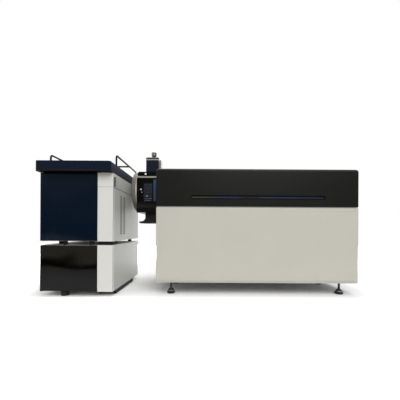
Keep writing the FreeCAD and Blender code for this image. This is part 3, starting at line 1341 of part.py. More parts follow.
def ms_shell():
    """Folded shell of the sides and the rear, with a flange that carries the deck."""
    shell = new_body("ms_shell", MS_LEFT, MS_FRONT, S.ms_foot)
    wide, deep, tall = S.ms_width, S.ms_depth, S.ms_lower
    wall = S.shell_wall
    flange = S.shell_flange
    front = S.panel_thick
    pad(shell, "z", 0.0, tall, rect(0.0, front, wide, deep))
    fillet(shell, S.shell_round, x=(0.0, wide), y=deep)
    cut(shell, "z", 0.0, tall - wall, rect(wall, front, wide - wall, deep - wall))
    cut(shell, "z", tall - wall, tall, rect(flange, front, wide - flange, deep - flange))
    fan_x = wide - S.fan_inset
    fan_z = S.fan_level + S.base_thick
    reach = S.fan_bore
    pitch = 2 * reach / S.fan_bars
    low = fan_z - reach
    grille = rect(fan_x - reach, low, fan_x + reach, low + pitch - S.fan_rib)
    first = cut(shell, "y", deep - 2 * wall, deep, grille)
    repeat(shell, [first], "z", pitch, S.fan_bars)
    bore = S.vacuum_tube + S.running_gap
    cut(shell, "y", deep - 2 * wall, deep, disc(S.vacuum_inset, S.vacuum_level, bore))
    left = S.inlet_left
    low = S.inlet_level
    inlet = rect(left, low, left + S.inlet_width, low + S.inlet_height)
    cut(shell, "y", deep - 2 * wall, deep, inlet)
    cut(shell, "y", deep - 2 * wall, deep, switch_hole(left + S.switch_step, S.inlet_level))


def ms_front_panel():
    """Pale moulded front panel, hollow behind, with a shadow step along its lower edge."""
    panel = new_body("ms_front_panel", MS_LEFT, MS_FRONT, S.ms_foot)
    wide, tall = S.ms_width, S.ms_lower
    thick = S.panel_thick
    wall = S.panel_wall
    pad(panel, "z", 0.0, tall, rect(0.0, 0.0, wide, thick))
    fillet(panel, S.panel_round, x=(0.0, wide), y=0.0)
    fillet(panel, S.door_round, z=tall, y=0.0)
    cut(panel, "z", 0.0, S.panel_step, rect(0.0, 0.0, wide, S.panel_step / 2))
    cut(panel, "y", wall + S.panel_step / 2, thick, rect(wall, wall, wide - wall, tall - wall))
    step = wide / (S.panel_ribs + 1)
    rib = pad(panel, "y", wall + S.panel_step / 2, thick - wall, rect(step, wall, step + wall, tall - wall))
    repeat(panel, [rib], "x", step, S.panel_ribs)


def ms_deck():
    """Deck between the lower part and the hood, with openings for the turbo pumps."""
    inset = S.deck_inset
    deck = new_body("ms_deck", MS_LEFT, MS_FRONT, DECK_BOTTOM)
    pad(deck, "z", 0.0, S.deck_thick, rect(inset, inset, S.ms_width - inset, S.ms_depth - inset))
    x = S.chamber_left + S.turbo_first
    hole = cut(deck, "z", 0.0, S.deck_thick, disc(x, ION_Y, S.turbo_radius + S.running_gap))
    repeat(deck, [hole], "x", S.turbo_step, 2)


def ms_hood():
    """Black moulded hood with rounded upper edges, a chamfered corner and a recessed light slot."""
    hood = new_body("ms_hood", MS_LEFT, MS_FRONT, HOOD_BOTTOM)
    wide, deep, tall = S.ms_width, S.ms_depth, S.hood_height
    wall = S.hood_wall
    pad(hood, "z", 0.0, tall, rect(0.0, 0.0, wide, deep))
    fillet(hood, S.shell_round, x=(0.0, wide), y=deep)
    fillet(hood, S.panel_round, x=(0.0, wide), y=0.0)
    fillet(hood, S.hood_round, z=tall)
    shoulder = S.hood_round
    cut(hood, "z", 0.0, tall - shoulder, rect(wall, wall, wide - wall, deep - wall))
    cut(hood, "z", tall - shoulder, tall - wall, rect(shoulder, shoulder, wide - shoulder, deep - shoulder))
    radius = S.slot_tall / 2
    near = S.slot_left + radius
    far = S.slot_left + S.slot_length - radius
    trough = S.trough_depth
    pad(hood, "y", wall, wall + trough, slot(near, far, S.slot_level, radius + wall))
    cut(hood, "y", 0.0, trough, slot(near, far, S.slot_level, radius))
    corner = S.hood_corner
    cut(hood, "y", 0.0, wall, polygon((wide - corner, 0.0), (wide, 0.0), (wide, corner)))
    cut(hood, "x", 0.0, wall, disc(ION_Y, S.ion_level - HOOD_BOTTOM, S.cone_hole))
    return hood


def ms_light_strip():
    """Light strip on the floor of the hood's slot."""
    strip = new_body("ms_light_strip", MS_LEFT, MS_FRONT, HOOD_BOTTOM)
    radius = S.light_tall / 2
    edge = S.slot_tall / 2
    back = S.trough_depth
    near = S.slot_left + edge
    far = S.slot_left + S.slot_length - edge
    pad(strip, "y", back - S.light_thick, back, slot(near, far, S.slot_level, radius))


def chamber_frame():
    """Left, front and floor of the vacuum chamber."""
    return MS_LEFT + S.chamber_left, MS_FRONT + ION_Y - S.chamber_width / 2, HOOD_BOTTOM


def vacuum_chamber():
    """Machined vacuum chamber on the deck, open at the top, with bores for cone and pumps."""
    chamber = new_body("vacuum_chamber", *chamber_frame())
    long, wide, high = S.chamber_length, S.chamber_width, S.chamber_height
    wall = S.chamber_wall
    pad(chamber, "z", 0.0, high, rect(0.0, 0.0, long, wide))
    chamfer(chamber, S.door_wall, x=(0.0, long), y=(0.0, wide))
    cut(chamber, "z", wall, high, rect(wall, wall, long - wall, wide - wall))
    cut(chamber, "x", 0.0, wall, disc(wide / 2, S.ion_level - HOOD_BOTTOM, S.cone_tip))
    throat = S.turbo_radius - wall
    hole = cut(chamber, "z", 0.0, wall, disc(S.turbo_first, wide / 2, throat))
    repeat(chamber, [hole], "x", S.turbo_step, 2)


def chamber_lid():
    """Lid of the vacuum chamber with a shallow pocket grid milled in its top."""
    x, y, z = chamber_frame()
    lid = new_body("chamber_lid", x, y, z + S.chamber_height)
    long, wide, thick = S.chamber_length, S.chamber_width, S.lid_thick
    wall = S.chamber_wall
    pad(lid, "z", 0.0, thick, rect(0.0, 0.0, long, wide))
    chamfer(lid, S.door_wall, x=(0.0, long), y=(0.0, wide))
    bay = (long - wall) / S.lid_bays
    pocket = cut(lid, "z", thick / 2, thick, rect(wall, wall, bay, wide - wall))
    repeat(lid, [pocket], "x", bay, S.lid_bays)


def turbo_pumps():
    """Two turbo pumps that hang through the deck from the chamber's floor."""
    x, y, z = chamber_frame()
    pumps = new_body("turbo_pumps", x + S.turbo_first, y + S.chamber_width / 2, z)
    radius = S.turbo_radius
    low = -(S.deck_thick + S.turbo_length)
    foot = S.turbo_flange_thick
    step = S.door_wall
    pump = turned(pumps, "z", (0.0, 0.0), (radius, 0.0), (radius, -S.deck_thick - foot),
                  (radius - step, -S.deck_thick - foot), (radius - step, -S.turbo_length / 2),
                  (S.turbo_body, -S.turbo_length / 2 - foot), (S.turbo_body, low), (0.0, low))
    repeat(pumps, [pump], "x", S.turbo_step, 2)


def quadrupoles():
    """Two quadrupoles: four rods each in a pair of ceramic collars that stand on the chamber floor."""
    x, y, z = chamber_frame()
    level = S.ion_level - HOOD_BOTTOM
    poles = new_body("quadrupoles", x + S.rod_first, y + S.chamber_width / 2, z + level)
    spread = S.rod_spread
    rods = pad(poles, "x", 0.0, S.rod_length, *[disc(a * spread, b * spread, S.rod_radius)
                                                 for a, b in ((1, 0), (-1, 0), (0, 1), (0, -1))])
    collars = []
    drop = level - S.chamber_wall
    thick = S.collar_thick
    for start in (S.collar_inset, S.rod_length - S.collar_inset - thick):
        ring = pad(poles, "x", start, start + thick, disc(0.0, 0.0, S.collar_radius))
        half = S.collar_radius / 2
        leg = pad(poles, "x", start, start + thick, rect(-half, -drop, half, 0.0))
        collars += [ring, leg]
    repeat(poles, [rods] + collars, "x", S.rod_step, 2)
    return poles


def ion_detector():
    """Ion detector at the far end of the chamber: a post with a dynode block."""
    x, y, z = chamber_frame()
    left = x + S.chamber_length - S.chamber_wall - S.detector_side - S.door_thick
    detector = new_body("ion_detector", left, y + S.chamber_width / 2, z + S.chamber_wall)
    half = S.detector_side / 2
    level = S.ion_level - HOOD_BOTTOM - S.chamber_wall
    pad(detector, "z", 0.0, level - half, disc(half, 0.0, half / 2))
    pad(detector, "z", level - half, level + half, rect(0.0, -half, S.detector_side, half))
    cut(detector, "x", 0.0, half, disc(0.0, level, half / 2))


def ms_supply():
    """Power supply on the base pan, with a row of cooling slots through its cover."""
    x = MS_LEFT + S.supply_inset
    y = MS_FRONT + S.panel_thick + S.supply_inset
    supply = new_body("ms_supply", x, y, S.ms_foot + S.base_thick)
    wide, deep, high = S.supply_width, S.supply_depth, S.supply_height
    pad(supply, "z", 0.0, high, rect(0.0, 0.0, wide, deep))
    fillet(supply, S.door_wall, x=(0.0, wide), z=high)
    slots = S.fan_blades
    pitch = wide / slots
    first = cut(supply, "z", high - S.door_wall, high, rect(pitch / 4, deep / 4, pitch / 2, 3 * deep / 4))
    repeat(supply, [first], "x", pitch, slots)


def fan_place():
    """Centre of the fan on the inside of the rear wall."""
    x = MS_LEFT + S.ms_width - S.fan_inset
    y = MS_FRONT + S.ms_depth - S.shell_wall
    return x, y, S.ms_foot + S.fan_level + S.base_thick


def fan_frame():
    """Fan frame on the rear wall, with the spider and bearing tube of its rotor."""
    frame = new_body("fan_frame", *fan_place())
    half = S.fan_side / 2
    deep = S.fan_thick
    pad(frame, "y", -deep, 0.0, rect(-half, -half, half, half))
    fillet(frame, S.panel_round, x=(-half, half), z=(-half, half))
    cut(frame, "y", -deep, 0.0, disc(0.0, 0.0, S.fan_bore))
    spoke = S.fan_rib / 2
    thin = S.door_wall
    pad(frame, "y", -thin, 0.0, rect(-S.fan_bore - spoke, -spoke, S.fan_bore + spoke, spoke))
    pad(frame, "y", -thin, 0.0, rect(-spoke, -S.fan_bore - spoke, spoke, S.fan_bore + spoke))
    pad(frame, "y", -thin, 0.0, disc(0.0, 0.0, S.fan_hub))
    pad(frame, "y", -deep / 2, 0.0, disc(0.0, 0.0, 2 * S.fan_shaft))
    cut(frame, "y", -deep / 2, 0.0, disc(0.0, 0.0, S.fan_shaft + S.pin_play))
    hole = disc(half - S.panel_round, half - S.panel_round, S.case_wall)
    first = cut(frame, "y", -deep, 0.0, hole)
    ring_of(frame, [first], "y", S.fan_arms)


def fan_rotor():
    """Fan rotor: a cup hub with blades and a shaft in the frame's bearing tube."""
    rotor = new_body("fan_rotor", *fan_place())
    near = -S.fan_thick + S.case_wall
    far = -S.fan_thick / 2 - S.door_play
    pad(rotor, "y", near, far, disc(0.0, 0.0, S.fan_hub))
    pad(rotor, "y", far, -S.door_play, disc(0.0, 0.0, S.fan_shaft))
    blade = S.fan_blade_thick
    lean = S.fan_hub / 2
    root = S.fan_hub / 2
    profile = polygon((-lean, root), (-lean + blade, root), (lean, S.fan_tip), (lean - blade, S.fan_tip))
    first = pad(rotor, "y", near, far, profile)
    ring_of(rotor, [first], "y", S.fan_blades)


def power_inlets():
    """Mains inlets in the rear walls of the pump, the sampler and the analyser."""
    inlets = new_body("power_inlets", 0.0, 0.0, 0.0)
    case_back = CASE_FRONT + CASE_DEPTH
    ms_back = MS_FRONT + S.ms_depth
    places = ((LEFT, case_back, S.pump_foot, S.case_wall), (LEFT, case_back, SAMPLER_BOTTOM, S.case_wall),
              (MS_LEFT, ms_back, S.ms_foot, S.shell_wall))
    for left, back, floor, wall in places:
        x = left + S.inlet_left
        z = floor + S.inlet_level
        outer = rect(x, z, x + S.inlet_width, z + S.inlet_height)
        rim = S.inlet_rim
        collar = rect(x - rim, z - rim, x + S.inlet_width + rim, z + S.inlet_height + rim)
        pad(inlets, "y", back - S.inlet_depth, back, outer)
        pad(inlets, "y", back, back + rim, collar)
        inner = rect(x + rim, z + rim, x + S.inlet_width - rim, z + S.inlet_height - rim)
        cut(inlets, "y", back - S.inlet_depth + rim, back + rim, inner)


def rocker(label, left, back, floor):
    """Rocker switch on its own pivot, a little proud of the rear wall."""
    x = left + S.inlet_left + S.switch_step
    switch = new_body(label, x, back, floor + S.inlet_level + S.switch_height / 2)
    half = S.switch_height / 2
    proud = S.switch_proud
    reach = S.switch_reach
    profile = polygon((-reach, -half / 2), (0.0, -half), (proud, -half), (proud / 2, 0.0), (proud, half),
                      (0.0, half), (-reach, half / 2))
    pad(switch, "x", 0.0, S.switch_width, profile)
    axle = disc(-reach / 2, 0.0, S.switch_axle)
    pad(switch, "x", -S.switch_stub, S.switch_width + S.switch_stub, axle)


def vacuum_port():
    """Backing port through the rear wall: a tube with a flange and a clear bore."""
    x = MS_LEFT + S.vacuum_inset
    port = new_body("vacuum_port", x, MS_FRONT + S.ms_depth, S.ms_foot + S.vacuum_level)
    bore, tube, edge = S.vacuum_bore, S.vacuum_tube, S.vacuum_radius
    proud = S.vacuum_proud
    face = proud - S.vacuum_flange
    inside = -S.vacuum_inside
    turned(port, "y", (bore, inside), (edge, inside), (edge, -S.shell_wall), (tube, -S.shell_wall),
           (tube, face), (edge, face), (edge, proud), (bore, proud))


def build_pump():
    """The pump module's pieces."""
    pump_case()
    module_door("pump_door", S.pump_foot, S.pump_height)
    module_strip("pump_strip", S.pump_foot, S.pump_height)
    pump_feet()
    pump_bulkhead()
    pump_heads()
    pump_drives()
    purge_valve()
    purge_knob()
    degasser()
    rocker("pump_switch", LEFT, CASE_FRONT + CASE_DEPTH, S.pump_foot)


def build_sampler():
    """The sampler module, its column oven and the tray on top."""
    sampler_case()
    module_door("sampler_door", SAMPLER_BOTTOM, S.sampler_height + S.oven_height)
    module_strip("sampler_strip", SAMPLER_BOTTOM, S.sampler_height)
    stack_feet()
    cooling_deck()
    vial_rack()
    sampler_bulkhead()
    gantry_rail()
    needle_carriage()
    needle_arm()
    injection_valve()
    oven_case()
    oven_strip_and_block()
    door_pins()
    solvent_tray()
    tray_rails()


def build_source():
    """The ion source's pieces."""
    source_flange()
    source_housing()
    source_door()
    source_window()
    source_handle()
    source_bar()
    source_head()
    probe_box()
    probe_cap()
    probe_knob()
    sprayer()
    source_bracket()
    sampling_cone()


def build_analyser():
    """The analyser cabinet's pieces."""
    ms_base()
    ms_feet()
    ms_shell()
    ms_front_panel()
    ms_deck()
    ms_hood()
    ms_light_strip()
    vacuum_chamber()
    chamber_lid()
    turbo_pumps()
    quadrupoles()
    ion_detector()
    ms_supply()
    fan_frame()
    fan_rotor()
    power_inlets()
    rocker("ms_switch", MS_LEFT, MS_FRONT + S.ms_depth, S.ms_foot)
    vacuum_port()


def check_document():
    """Stop if a feature failed, a cut removed nothing or a sub-part has no sound solid."""
    faults = [thing.Name for thing in doc.Objects if {"Invalid", "Error"} & set(thing.State)]
    for thing in doc.Objects:
        cutting = thing.TypeId in ("PartDesign::Pocket", "PartDesign::Groove")
        if cutting and thing.BaseFeature and not thing.Shape.isNull():
            if thing.Shape.Volume > thing.BaseFeature.Shape.Volume - CLOSE:
                faults.append(f"{thing.Name} removes nothing")
    for label, node in NODES.items():
        if node.Shape.isNull() or not node.Shape.isValid() or node.Shape.Volume < CLOSE:
            faults.append(f"{label} has no sound solid")
    if faults:
        raise RuntimeError("; ".join(faults))


def write_parts():
    """Write each sub-part to its own file."""
    os.makedirs("parts", exist_ok=True)
    for label, node in NODES.items():
        node.Shape.exportStep(f"parts/{label}.step")
        print(label, len(node.Shape.Solids), round(node.Shape.Volume / 1000.0, 1))


build_pump()
build_sampler()
build_source()
build_analyser()
doc.recompute()
check_document()
write_parts()
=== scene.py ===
"""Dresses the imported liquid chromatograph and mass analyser, and sets the camera and the studio."""
import logging
import math
from collections.abc import Callable, Iterable, Sequence
from contextlib import contextmanager
from dataclasses import dataclass, replace
from enum import Enum
from itertools import product
from typing import ClassVar, NamedTuple

import bpy
from mathutils import Matrix, Vector


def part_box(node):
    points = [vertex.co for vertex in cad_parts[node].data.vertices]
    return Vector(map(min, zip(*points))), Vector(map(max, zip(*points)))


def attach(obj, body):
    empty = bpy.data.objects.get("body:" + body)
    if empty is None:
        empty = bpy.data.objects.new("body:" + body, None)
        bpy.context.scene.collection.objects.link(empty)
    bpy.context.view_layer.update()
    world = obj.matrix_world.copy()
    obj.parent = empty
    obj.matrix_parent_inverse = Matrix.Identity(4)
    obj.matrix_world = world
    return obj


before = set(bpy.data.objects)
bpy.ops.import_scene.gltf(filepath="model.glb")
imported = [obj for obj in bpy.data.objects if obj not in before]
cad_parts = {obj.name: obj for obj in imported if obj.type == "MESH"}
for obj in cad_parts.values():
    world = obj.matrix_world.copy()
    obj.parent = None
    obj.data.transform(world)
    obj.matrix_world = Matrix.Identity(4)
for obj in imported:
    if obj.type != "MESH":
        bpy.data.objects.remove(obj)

log = logging.getLogger("chromatograph")

Point = tuple[float, float, float]
Span = tuple[float, float]
Piece = bpy.types.Object
Node = bpy.types.Node
Tree = bpy.types.NodeTree
ROOT = "cabinets"


class Facing(Enum):
    """The direction that the outer end of a small fitting points to."""

    RIGHT = (1.0, 0.0, 0.0)
    LEFT = (-1.0, 0.0, 0.0)
    BACK = (0.0, 1.0, 0.0)
    FRONT = (0.0, -1.0, 0.0)
    UP = (0.0, 0.0, 1.0)
    DOWN = (0.0, 0.0, -1.0)

    def turn(self) -> Matrix:
        """Turns a fitting made along +Z to this direction."""
        return Vector((0.0, 0.0, 1.0)).rotation_difference(Vector(self.value)).to_matrix().to_4x4()


class Grain(Enum):
    """The kind of fine relief that a finish has, by its node group's name."""

    SMOOTH = "surface_relief"
    BRUSHED = "tool_marks"


# Shader nodes
def node(tree: Tree, kind: str, **inputs: object) -> Node:
    """Adds a node with its settings and the values of its sockets.

    Args:
        tree: Node tree that takes the node.
        kind: Blender's name of the node type.
        inputs: Settings of the node, or values of its sockets by their names with underscores.

    Returns:
        The new node.
    """
    made = tree.nodes.new(kind)
    for key, value in inputs.items():
        if hasattr(made, key):
            setattr(made, key, value)
        else:
            made.inputs[key.replace("_", " ")].default_value = value
    return made


def link(source: Node, out: str | int, target: Node, into: str | int) -> None:
    """Joins one node's output to another node's input."""
    source.id_data.links.new(source.outputs[out], target.inputs[into])


def ranged(source: Node, out: str | int, span: Span, becomes: Span = (0.0, 1.0)) -> Node:
    """Adds a node that maps one span of a node's output onto another span."""
    made = node(source.id_data, "ShaderNodeMapRange", From_Min=span[0], From_Max=span[1], To_Min=becomes[0],
                To_Max=becomes[1])
    link(source, out, made, "Value")
    return made


def maths(operation: str, *terms: tuple[Node, str | int]) -> Node:
    """Adds a maths node over the given outputs of other nodes."""
    made = node(terms[0][0].id_data, "ShaderNodeMath", operation=operation)
    for index, (source, out) in enumerate(terms):
        link(source, out, made, index)
    return made


def colour_ramp(source: Node, stops: Sequence[tuple[float, Point]]) -> Node:
    """Adds a ramp that colours a node's first output, by each stop's place and colour from low to high."""
    ramp = node(source.id_data, "ShaderNodeValToRGB")
    points = ramp.color_ramp.elements
    for point, (spot, colour) in zip((points[0], points[1]), (stops[0], stops[-1])):
        point.position, point.color = spot, (*colour, 1.0)
    for spot, colour in stops[1:-1]:
        points.new(spot).color = (*colour, 1.0)
    link(source, 0, ramp, "Fac")
    return ramp


def mix_shaders(share: Node, out: str | int, first: Node, second: Node) -> Node:
    """Adds a mix of two shaders, by an output that tells the second one's share."""
    made = node(share.id_data, "ShaderNodeMixShader")
    link(share, out, made, "Fac")
    link(first, 0, made, 1)
    link(second, 0, made, 2)
    return made


GROUP_SOCKETS = {
    "INPUT": {"Vector": "Vector", "Colour": "Color", "Scale": "Float", "Shade": "Float", "Roughness": "Float",
              "Marks": "Float"},
    "OUTPUT": {"Colour": "Color", "Roughness": "Float", "Height": "Float"}}


def node_group(name: str, build: Callable[[Node, Node], None]) -> Tree:
    """Returns a node group that several finishes share, built on its first use.

    Args:
        name: Name of the group.
        build: Function that lays the group's nodes between its input and its output node.

    Returns:
        The node group.
    """
    tree = bpy.data.node_groups.get(name)
    if not tree:
        tree = bpy.data.node_groups.new(name, "ShaderNodeTree")
        for way, sockets in GROUP_SOCKETS.items():
            for label, kind in sockets.items():
                tree.interface.new_socket(name=label, in_out=way, socket_type=f"NodeSocket{kind}")
        build(node(tree, "NodeGroupInput"), node(tree, "NodeGroupOutput"))
    return tree


def grey(level: float) -> Point:
    """Returns the neutral colour of a level."""
    return (level, level, level)


MIDDLE_TONES = (0.3, 0.7)
BOTH_WAYS = (-1.0, 1.0)


def finish_group(start: Node, end: Node, tone: Node, wear: Node, height: Node) -> None:
    """Lays what both groups share: the tone shades the colour, the wear adds roughness, the height is the relief."""
    shade = maths("MULTIPLY_ADD", (tone, 0), (start, "Shade"))
    shade.inputs[2].default_value = 1.0
    tint = node(start.id_data, "ShaderNodeVectorMath", operation="SCALE")
    link(start, "Colour", tint, 0)
    link(shade, 0, tint, "Scale")
    link(tint, 0, end, "Colour")
    rough = maths("MULTIPLY_ADD", (wear, 0), (start, "Marks"), (start, "Roughness"))
    link(rough, 0, end, "Roughness")
    link(height, "Fac", end, "Height")


def build_relief(start: Node, end: Node) -> None:
    """Lays the group for painted and moulded surfaces: a fine grain, broad clouds and faint handling marks."""
    tree = start.id_data
    fine = node(tree, "ShaderNodeTexNoise", Detail=3.0, Roughness=0.6)
    broad = node(tree, "ShaderNodeTexNoise", Scale=5.0, Detail=2.0)
    marks = node(tree, "ShaderNodeTexNoise", Scale=23.0, Detail=4.0, Distortion=1.4)
    for pattern in (fine, broad, marks):
        link(start, "Vector", pattern, "Vector")
    link(start, "Scale", fine, "Scale")
    cloud = ranged(broad, "Fac", MIDDLE_TONES, BOTH_WAYS)
    speck = ranged(fine, "Fac", MIDDLE_TONES, BOTH_WAYS)
    rub = ranged(marks, "Fac", (0.45, 0.75))
    finish_group(start, end, maths("ADD", (cloud, "Result"), (speck, "Result")), rub, fine)


def build_streaks(start: Node, end: Node) -> None:
    """Lays the group for machined metal: long tool marks along one axis over a faint stain."""
    tree = start.id_data
    stretch = node(tree, "ShaderNodeMapping", Scale=(0.03, 1.0, 1.0))
    lines = node(tree, "ShaderNodeTexNoise", Detail=4.0, Roughness=0.7)
    stain = node(tree, "ShaderNodeTexNoise", Scale=40.0, Detail=3.0)
    link(start, "Vector", stretch, "Vector")
    link(stretch, "Vector", lines, "Vector")
    link(start, "Scale", lines, "Scale")
    link(start, "Vector", stain, "Vector")
    spread = ranged(lines, "Fac", MIDDLE_TONES, BOTH_WAYS)
    finish_group(start, end, spread, maths("MULTIPLY", (lines, "Fac"), (stain, "Fac")), lines)


# Finishes
class Laid(NamedTuple):
    """The nodes of a material that a special finish adds to."""

    tree: Tree
    place: Node
    group: Node
    bump: Node
    shader: Node


@dataclass(frozen=True)
class Finish:
    """One finish of the instrument: its colour, gloss and fine relief."""

    name: str
    colour: Point
    roughness: float
    grain: Grain = Grain.SMOOTH
    metallic: float = 0.0
    scale: float = 900.0
    shade: float = 0.03
    marks: float = 0.05
    relief: float = 0.1
    height: float = 0.0002
    specular: float = 0.5
    coat: float = 0.0
    coat_roughness: float = 0.04
    glow: Point | None = None
    glow_strength: float = 0.0
    slot: str = ""

    def material(self) -> bpy.types.Material:
        """Builds the finish's material once and returns it."""
        found = bpy.data.materials.get(self.name)
        if found:
            return found
        made = bpy.data.materials.new(self.name)
        made.use_nodes = True
        tree = made.node_tree
        shader = tree.nodes["Principled BSDF"]
        place = node(tree, "ShaderNodeTexCoord")
        build = build_streaks if self.grain is Grain.BRUSHED else build_relief
        group = node(tree, "ShaderNodeGroup", node_tree=node_group(self.grain.value, build))
        bump = node(tree, "ShaderNodeBump", Strength=self.relief, Distance=self.height)
        link(place, "Object", group, "Vector")
        link(group, "Colour", shader, "Base Color")
        link(group, "Roughness", shader, "Roughness")
        link(group, "Height", bump, "Height")
        link(bump, "Normal", shader, "Normal")
        surface = {"Colour": (*self.colour, 1.0), "Scale": self.scale, "Shade": self.shade,
                   "Roughness": self.roughness, "Marks": self.marks}
        light = {"Metallic": self.metallic, "Specular IOR Level": self.specular, "Coat Weight": self.coat,
                 "Coat Roughness": self.coat_roughness}
        if self.glow:
            light.update({"Emission Color": (*self.glow, 1.0), "Emission Strength": self.glow_strength})
        for target, values in ((group, surface), (shader, light)):
            for label, value in values.items():
                target.inputs[label].default_value = value
        self.extend(Laid(tree, place, group, bump, shader))
        return made

    def extend(self, laid: Laid) -> None:
        """Adds what a special finish has beyond the shared nodes; a plain finish adds nothing."""


@dataclass(frozen=True)
class GlossPanel(Finish):
    """Polished moulded door skin, which is never quite flat, so that what it mirrors bends a little."""

    warp: float = 0.006
    warp_scale: float = 4.0

    def extend(self, laid: Laid) -> None:
        """Adds the slow waves of the moulding under the fine relief."""
        wave = node(laid.tree, "ShaderNodeTexNoise", Scale=self.warp_scale, Detail=1.0)
        slow = node(laid.tree, "ShaderNodeBump", Strength=1.0, Distance=self.warp)
        link(laid.place, "Object", wave, "Vector")
        link(wave, "Fac", slow, "Height")
        link(slow, "Normal", laid.bump, "Normal")


@dataclass(frozen=True)
class TintedPane(Finish):
    """Tinted glass pane of the ion source's door."""

    clear: float = 0.9
    glass_ior: float = 1.45

    def extend(self, laid: Laid) -> None:
        """Makes the pane see-through."""
        laid.shader.inputs["Transmission Weight"].default_value = self.clear
        laid.shader.inputs["IOR"].default_value = self.glass_ior


@dataclass(frozen=True)
class BandedPaint(Finish):
    """Finish with bands of different colour along one axis, such as the sections of a light strip; on some finishes a
    band is a painted highlight or painted shade along an edge.
    """

    axis: str = "Z"
    start: float = 0.0
    end: float = 1.0
    bands: tuple[tuple[float, Point], ...] = ()
    band_glow: float = 0.0

    def extend(self, laid: Laid) -> None:
        """Colours the bands between the start and the end, each by its share of the way."""
        split = node(laid.tree, "ShaderNodeSeparateXYZ")
        link(laid.place, "Object", split, "Vector")
        ramp = colour_ramp(ranged(split, self.axis, (self.start, self.end)), self.bands)
        link(ramp, "Color", laid.group, "Colour")
        if self.band_glow:
            link(ramp, "Color", laid.shader, "Emission Color")
            laid.shader.inputs["Emission Strength"].default_value = self.band_glow


SILVER_PAINT = Finish("silver_grey_paint", (0.53, 0.53, 0.495), 0.42, scale=1400.0, shade=0.02, relief=0.25)
NAVY_DOOR = GlossPanel("navy_gloss_door", (0.0012, 0.0066, 0.0158), 0.07, shade=0.02, relief=0.02, specular=0.3)
DARK_DOOR = GlossPanel(
    "brown_black_gloss_door", (0.0014, 0.0013, 0.001), 0.05, shade=0.02, marks=0.04, relief=0.02, specular=0.36,
    warp=0.008, warp_scale=3.5)
WHITE_STRIP = Finish("warm_white_moulding", (0.77, 0.755, 0.715), 0.38, scale=1800.0, shade=0.015, relief=0.15)
NAVY = (0.0062, 0.012, 0.025)
# Along Z the tray is near black at its bottom edge, painted shade where it meets the case, then has a warm grey band,
# then navy, with a darker navy line at its top edge.
NAVY_TRAY = BandedPaint(
    "navy_satin_paint", NAVY, 0.55, scale=1500.0, shade=0.05, relief=0.2, specular=0.05, start=0.655, end=0.709,
    bands=((0.0, grey(0.002)), (0.04, (0.017, 0.016, 0.013)), (0.12, (0.014, 0.014, 0.012)), (0.16, NAVY),
    (0.93, NAVY), (1.0, (0.003, 0.006, 0.012))))
BLACK_WIRE = Finish(
    "black_powder_coat", (0.009, 0.009, 0.0095), 0.55, scale=1700.0, shade=0.08, relief=0.3, specular=0.12,
    slot="black_plastic")
BLACK_PLASTIC = Finish(
    "black_moulding", grey(0.013), 0.5, scale=1300.0, shade=0.08, relief=0.35, slot="black_plastic")
RUBBER = Finish(
    "foot_rubber", (0.012, 0.012, 0.011), 0.75, scale=700.0, shade=0.15, marks=0.12, relief=0.5, slot="rubber")
STEEL = Finish(
    "turned_stainless_steel", (0.56, 0.55, 0.53), 0.26, Grain.BRUSHED, metallic=1.0, scale=260.0, shade=0.06,
    marks=0.2, relief=0.12, slot="steel")
POLISHED = Finish(
    "polished_steel", (0.75, 0.74, 0.71), 0.09, metallic=1.0, shade=0.02, marks=0.06, relief=0.02, slot="chrome")
ALUMINIUM = Finish(
    "machined_aluminium", (0.62, 0.63, 0.64), 0.34, Grain.BRUSHED, metallic=1.0, scale=320.0, shade=0.07,
    marks=0.22, relief=0.2, slot="aluminium")
PALE_PANEL = Finish("warm_pale_paint", (0.575, 0.555, 0.49), 0.45, scale=1500.0, shade=0.015, relief=0.2)
GREY_SHEET = Finish("grey_sheet_paint", (0.34, 0.34, 0.32), 0.48, scale=1300.0, relief=0.3, slot="ms_grey")
HOOD = (0.0105, 0.0112, 0.0092)
# Painted highlight: the lighter band along the hood's top edge stands in for light caught by its rounded edge.
LID_EDGE_HIGHLIGHT = (0.026, 0.027, 0.025)
HOOD_BLACK = BandedPaint(
    "hood_moulding", HOOD, 0.36, scale=1600.0, shade=0.05, marks=0.08, relief=0.2, specular=0.16, start=0.485,
    end=0.692, bands=((0.0, HOOD), (0.945, HOOD), (0.956, LID_EDGE_HIGHLIGHT), (1.0, LID_EDGE_HIGHLIGHT)))
FLANGE_GREY = (0.18, 0.17, 0.142)
# Painted highlight: the bright ring toward the flange's right end stands in for light on its chamfered rim. Along X
# the flange is also darker at its left end and just before the ring, and a little lighter half way.
RIM_HIGHLIGHT = (0.72, 0.71, 0.66)
FLANGE_PAINT = BandedPaint(
    "warm_grey_flange", FLANGE_GREY, 0.34, shade=0.04, relief=0.15, axis="X", start=-0.438, end=-0.403,
    bands=((0.0, (0.05, 0.048, 0.04)), (0.06, FLANGE_GREY), (0.5, (0.19, 0.18, 0.15)), (0.62, FLANGE_GREY),
    (0.68, (0.07, 0.067, 0.055)), (0.72, RIM_HIGHLIGHT), (0.97, RIM_HIGHLIGHT), (1.0, FLANGE_GREY)))
SOURCE_BLACK = Finish(
    "source_gloss_black", (0.003, 0.003, 0.0032), 0.16, shade=0.05, marks=0.08, relief=0.04, specular=0.16)
CAST_BAND = BandedPaint(
    "source_cast_body", (0.01, 0.0095, 0.008), 0.4, scale=800.0, shade=0.08, marks=0.1, relief=0.3, specular=0.2,
    start=0.462, end=0.677, bands=((0.0, grey(0.002)), (0.11, grey(0.003)), (0.14, (0.02, 0.019, 0.015)),
    (0.19, (0.024, 0.022, 0.018)), (0.2, (0.04, 0.037, 0.03)), (0.21, (0.016, 0.015, 0.012)),
    (0.25, (0.006, 0.006, 0.005)), (1.0, (0.006, 0.006, 0.005))))
PROBE = (0.0055, 0.009, 0.019)
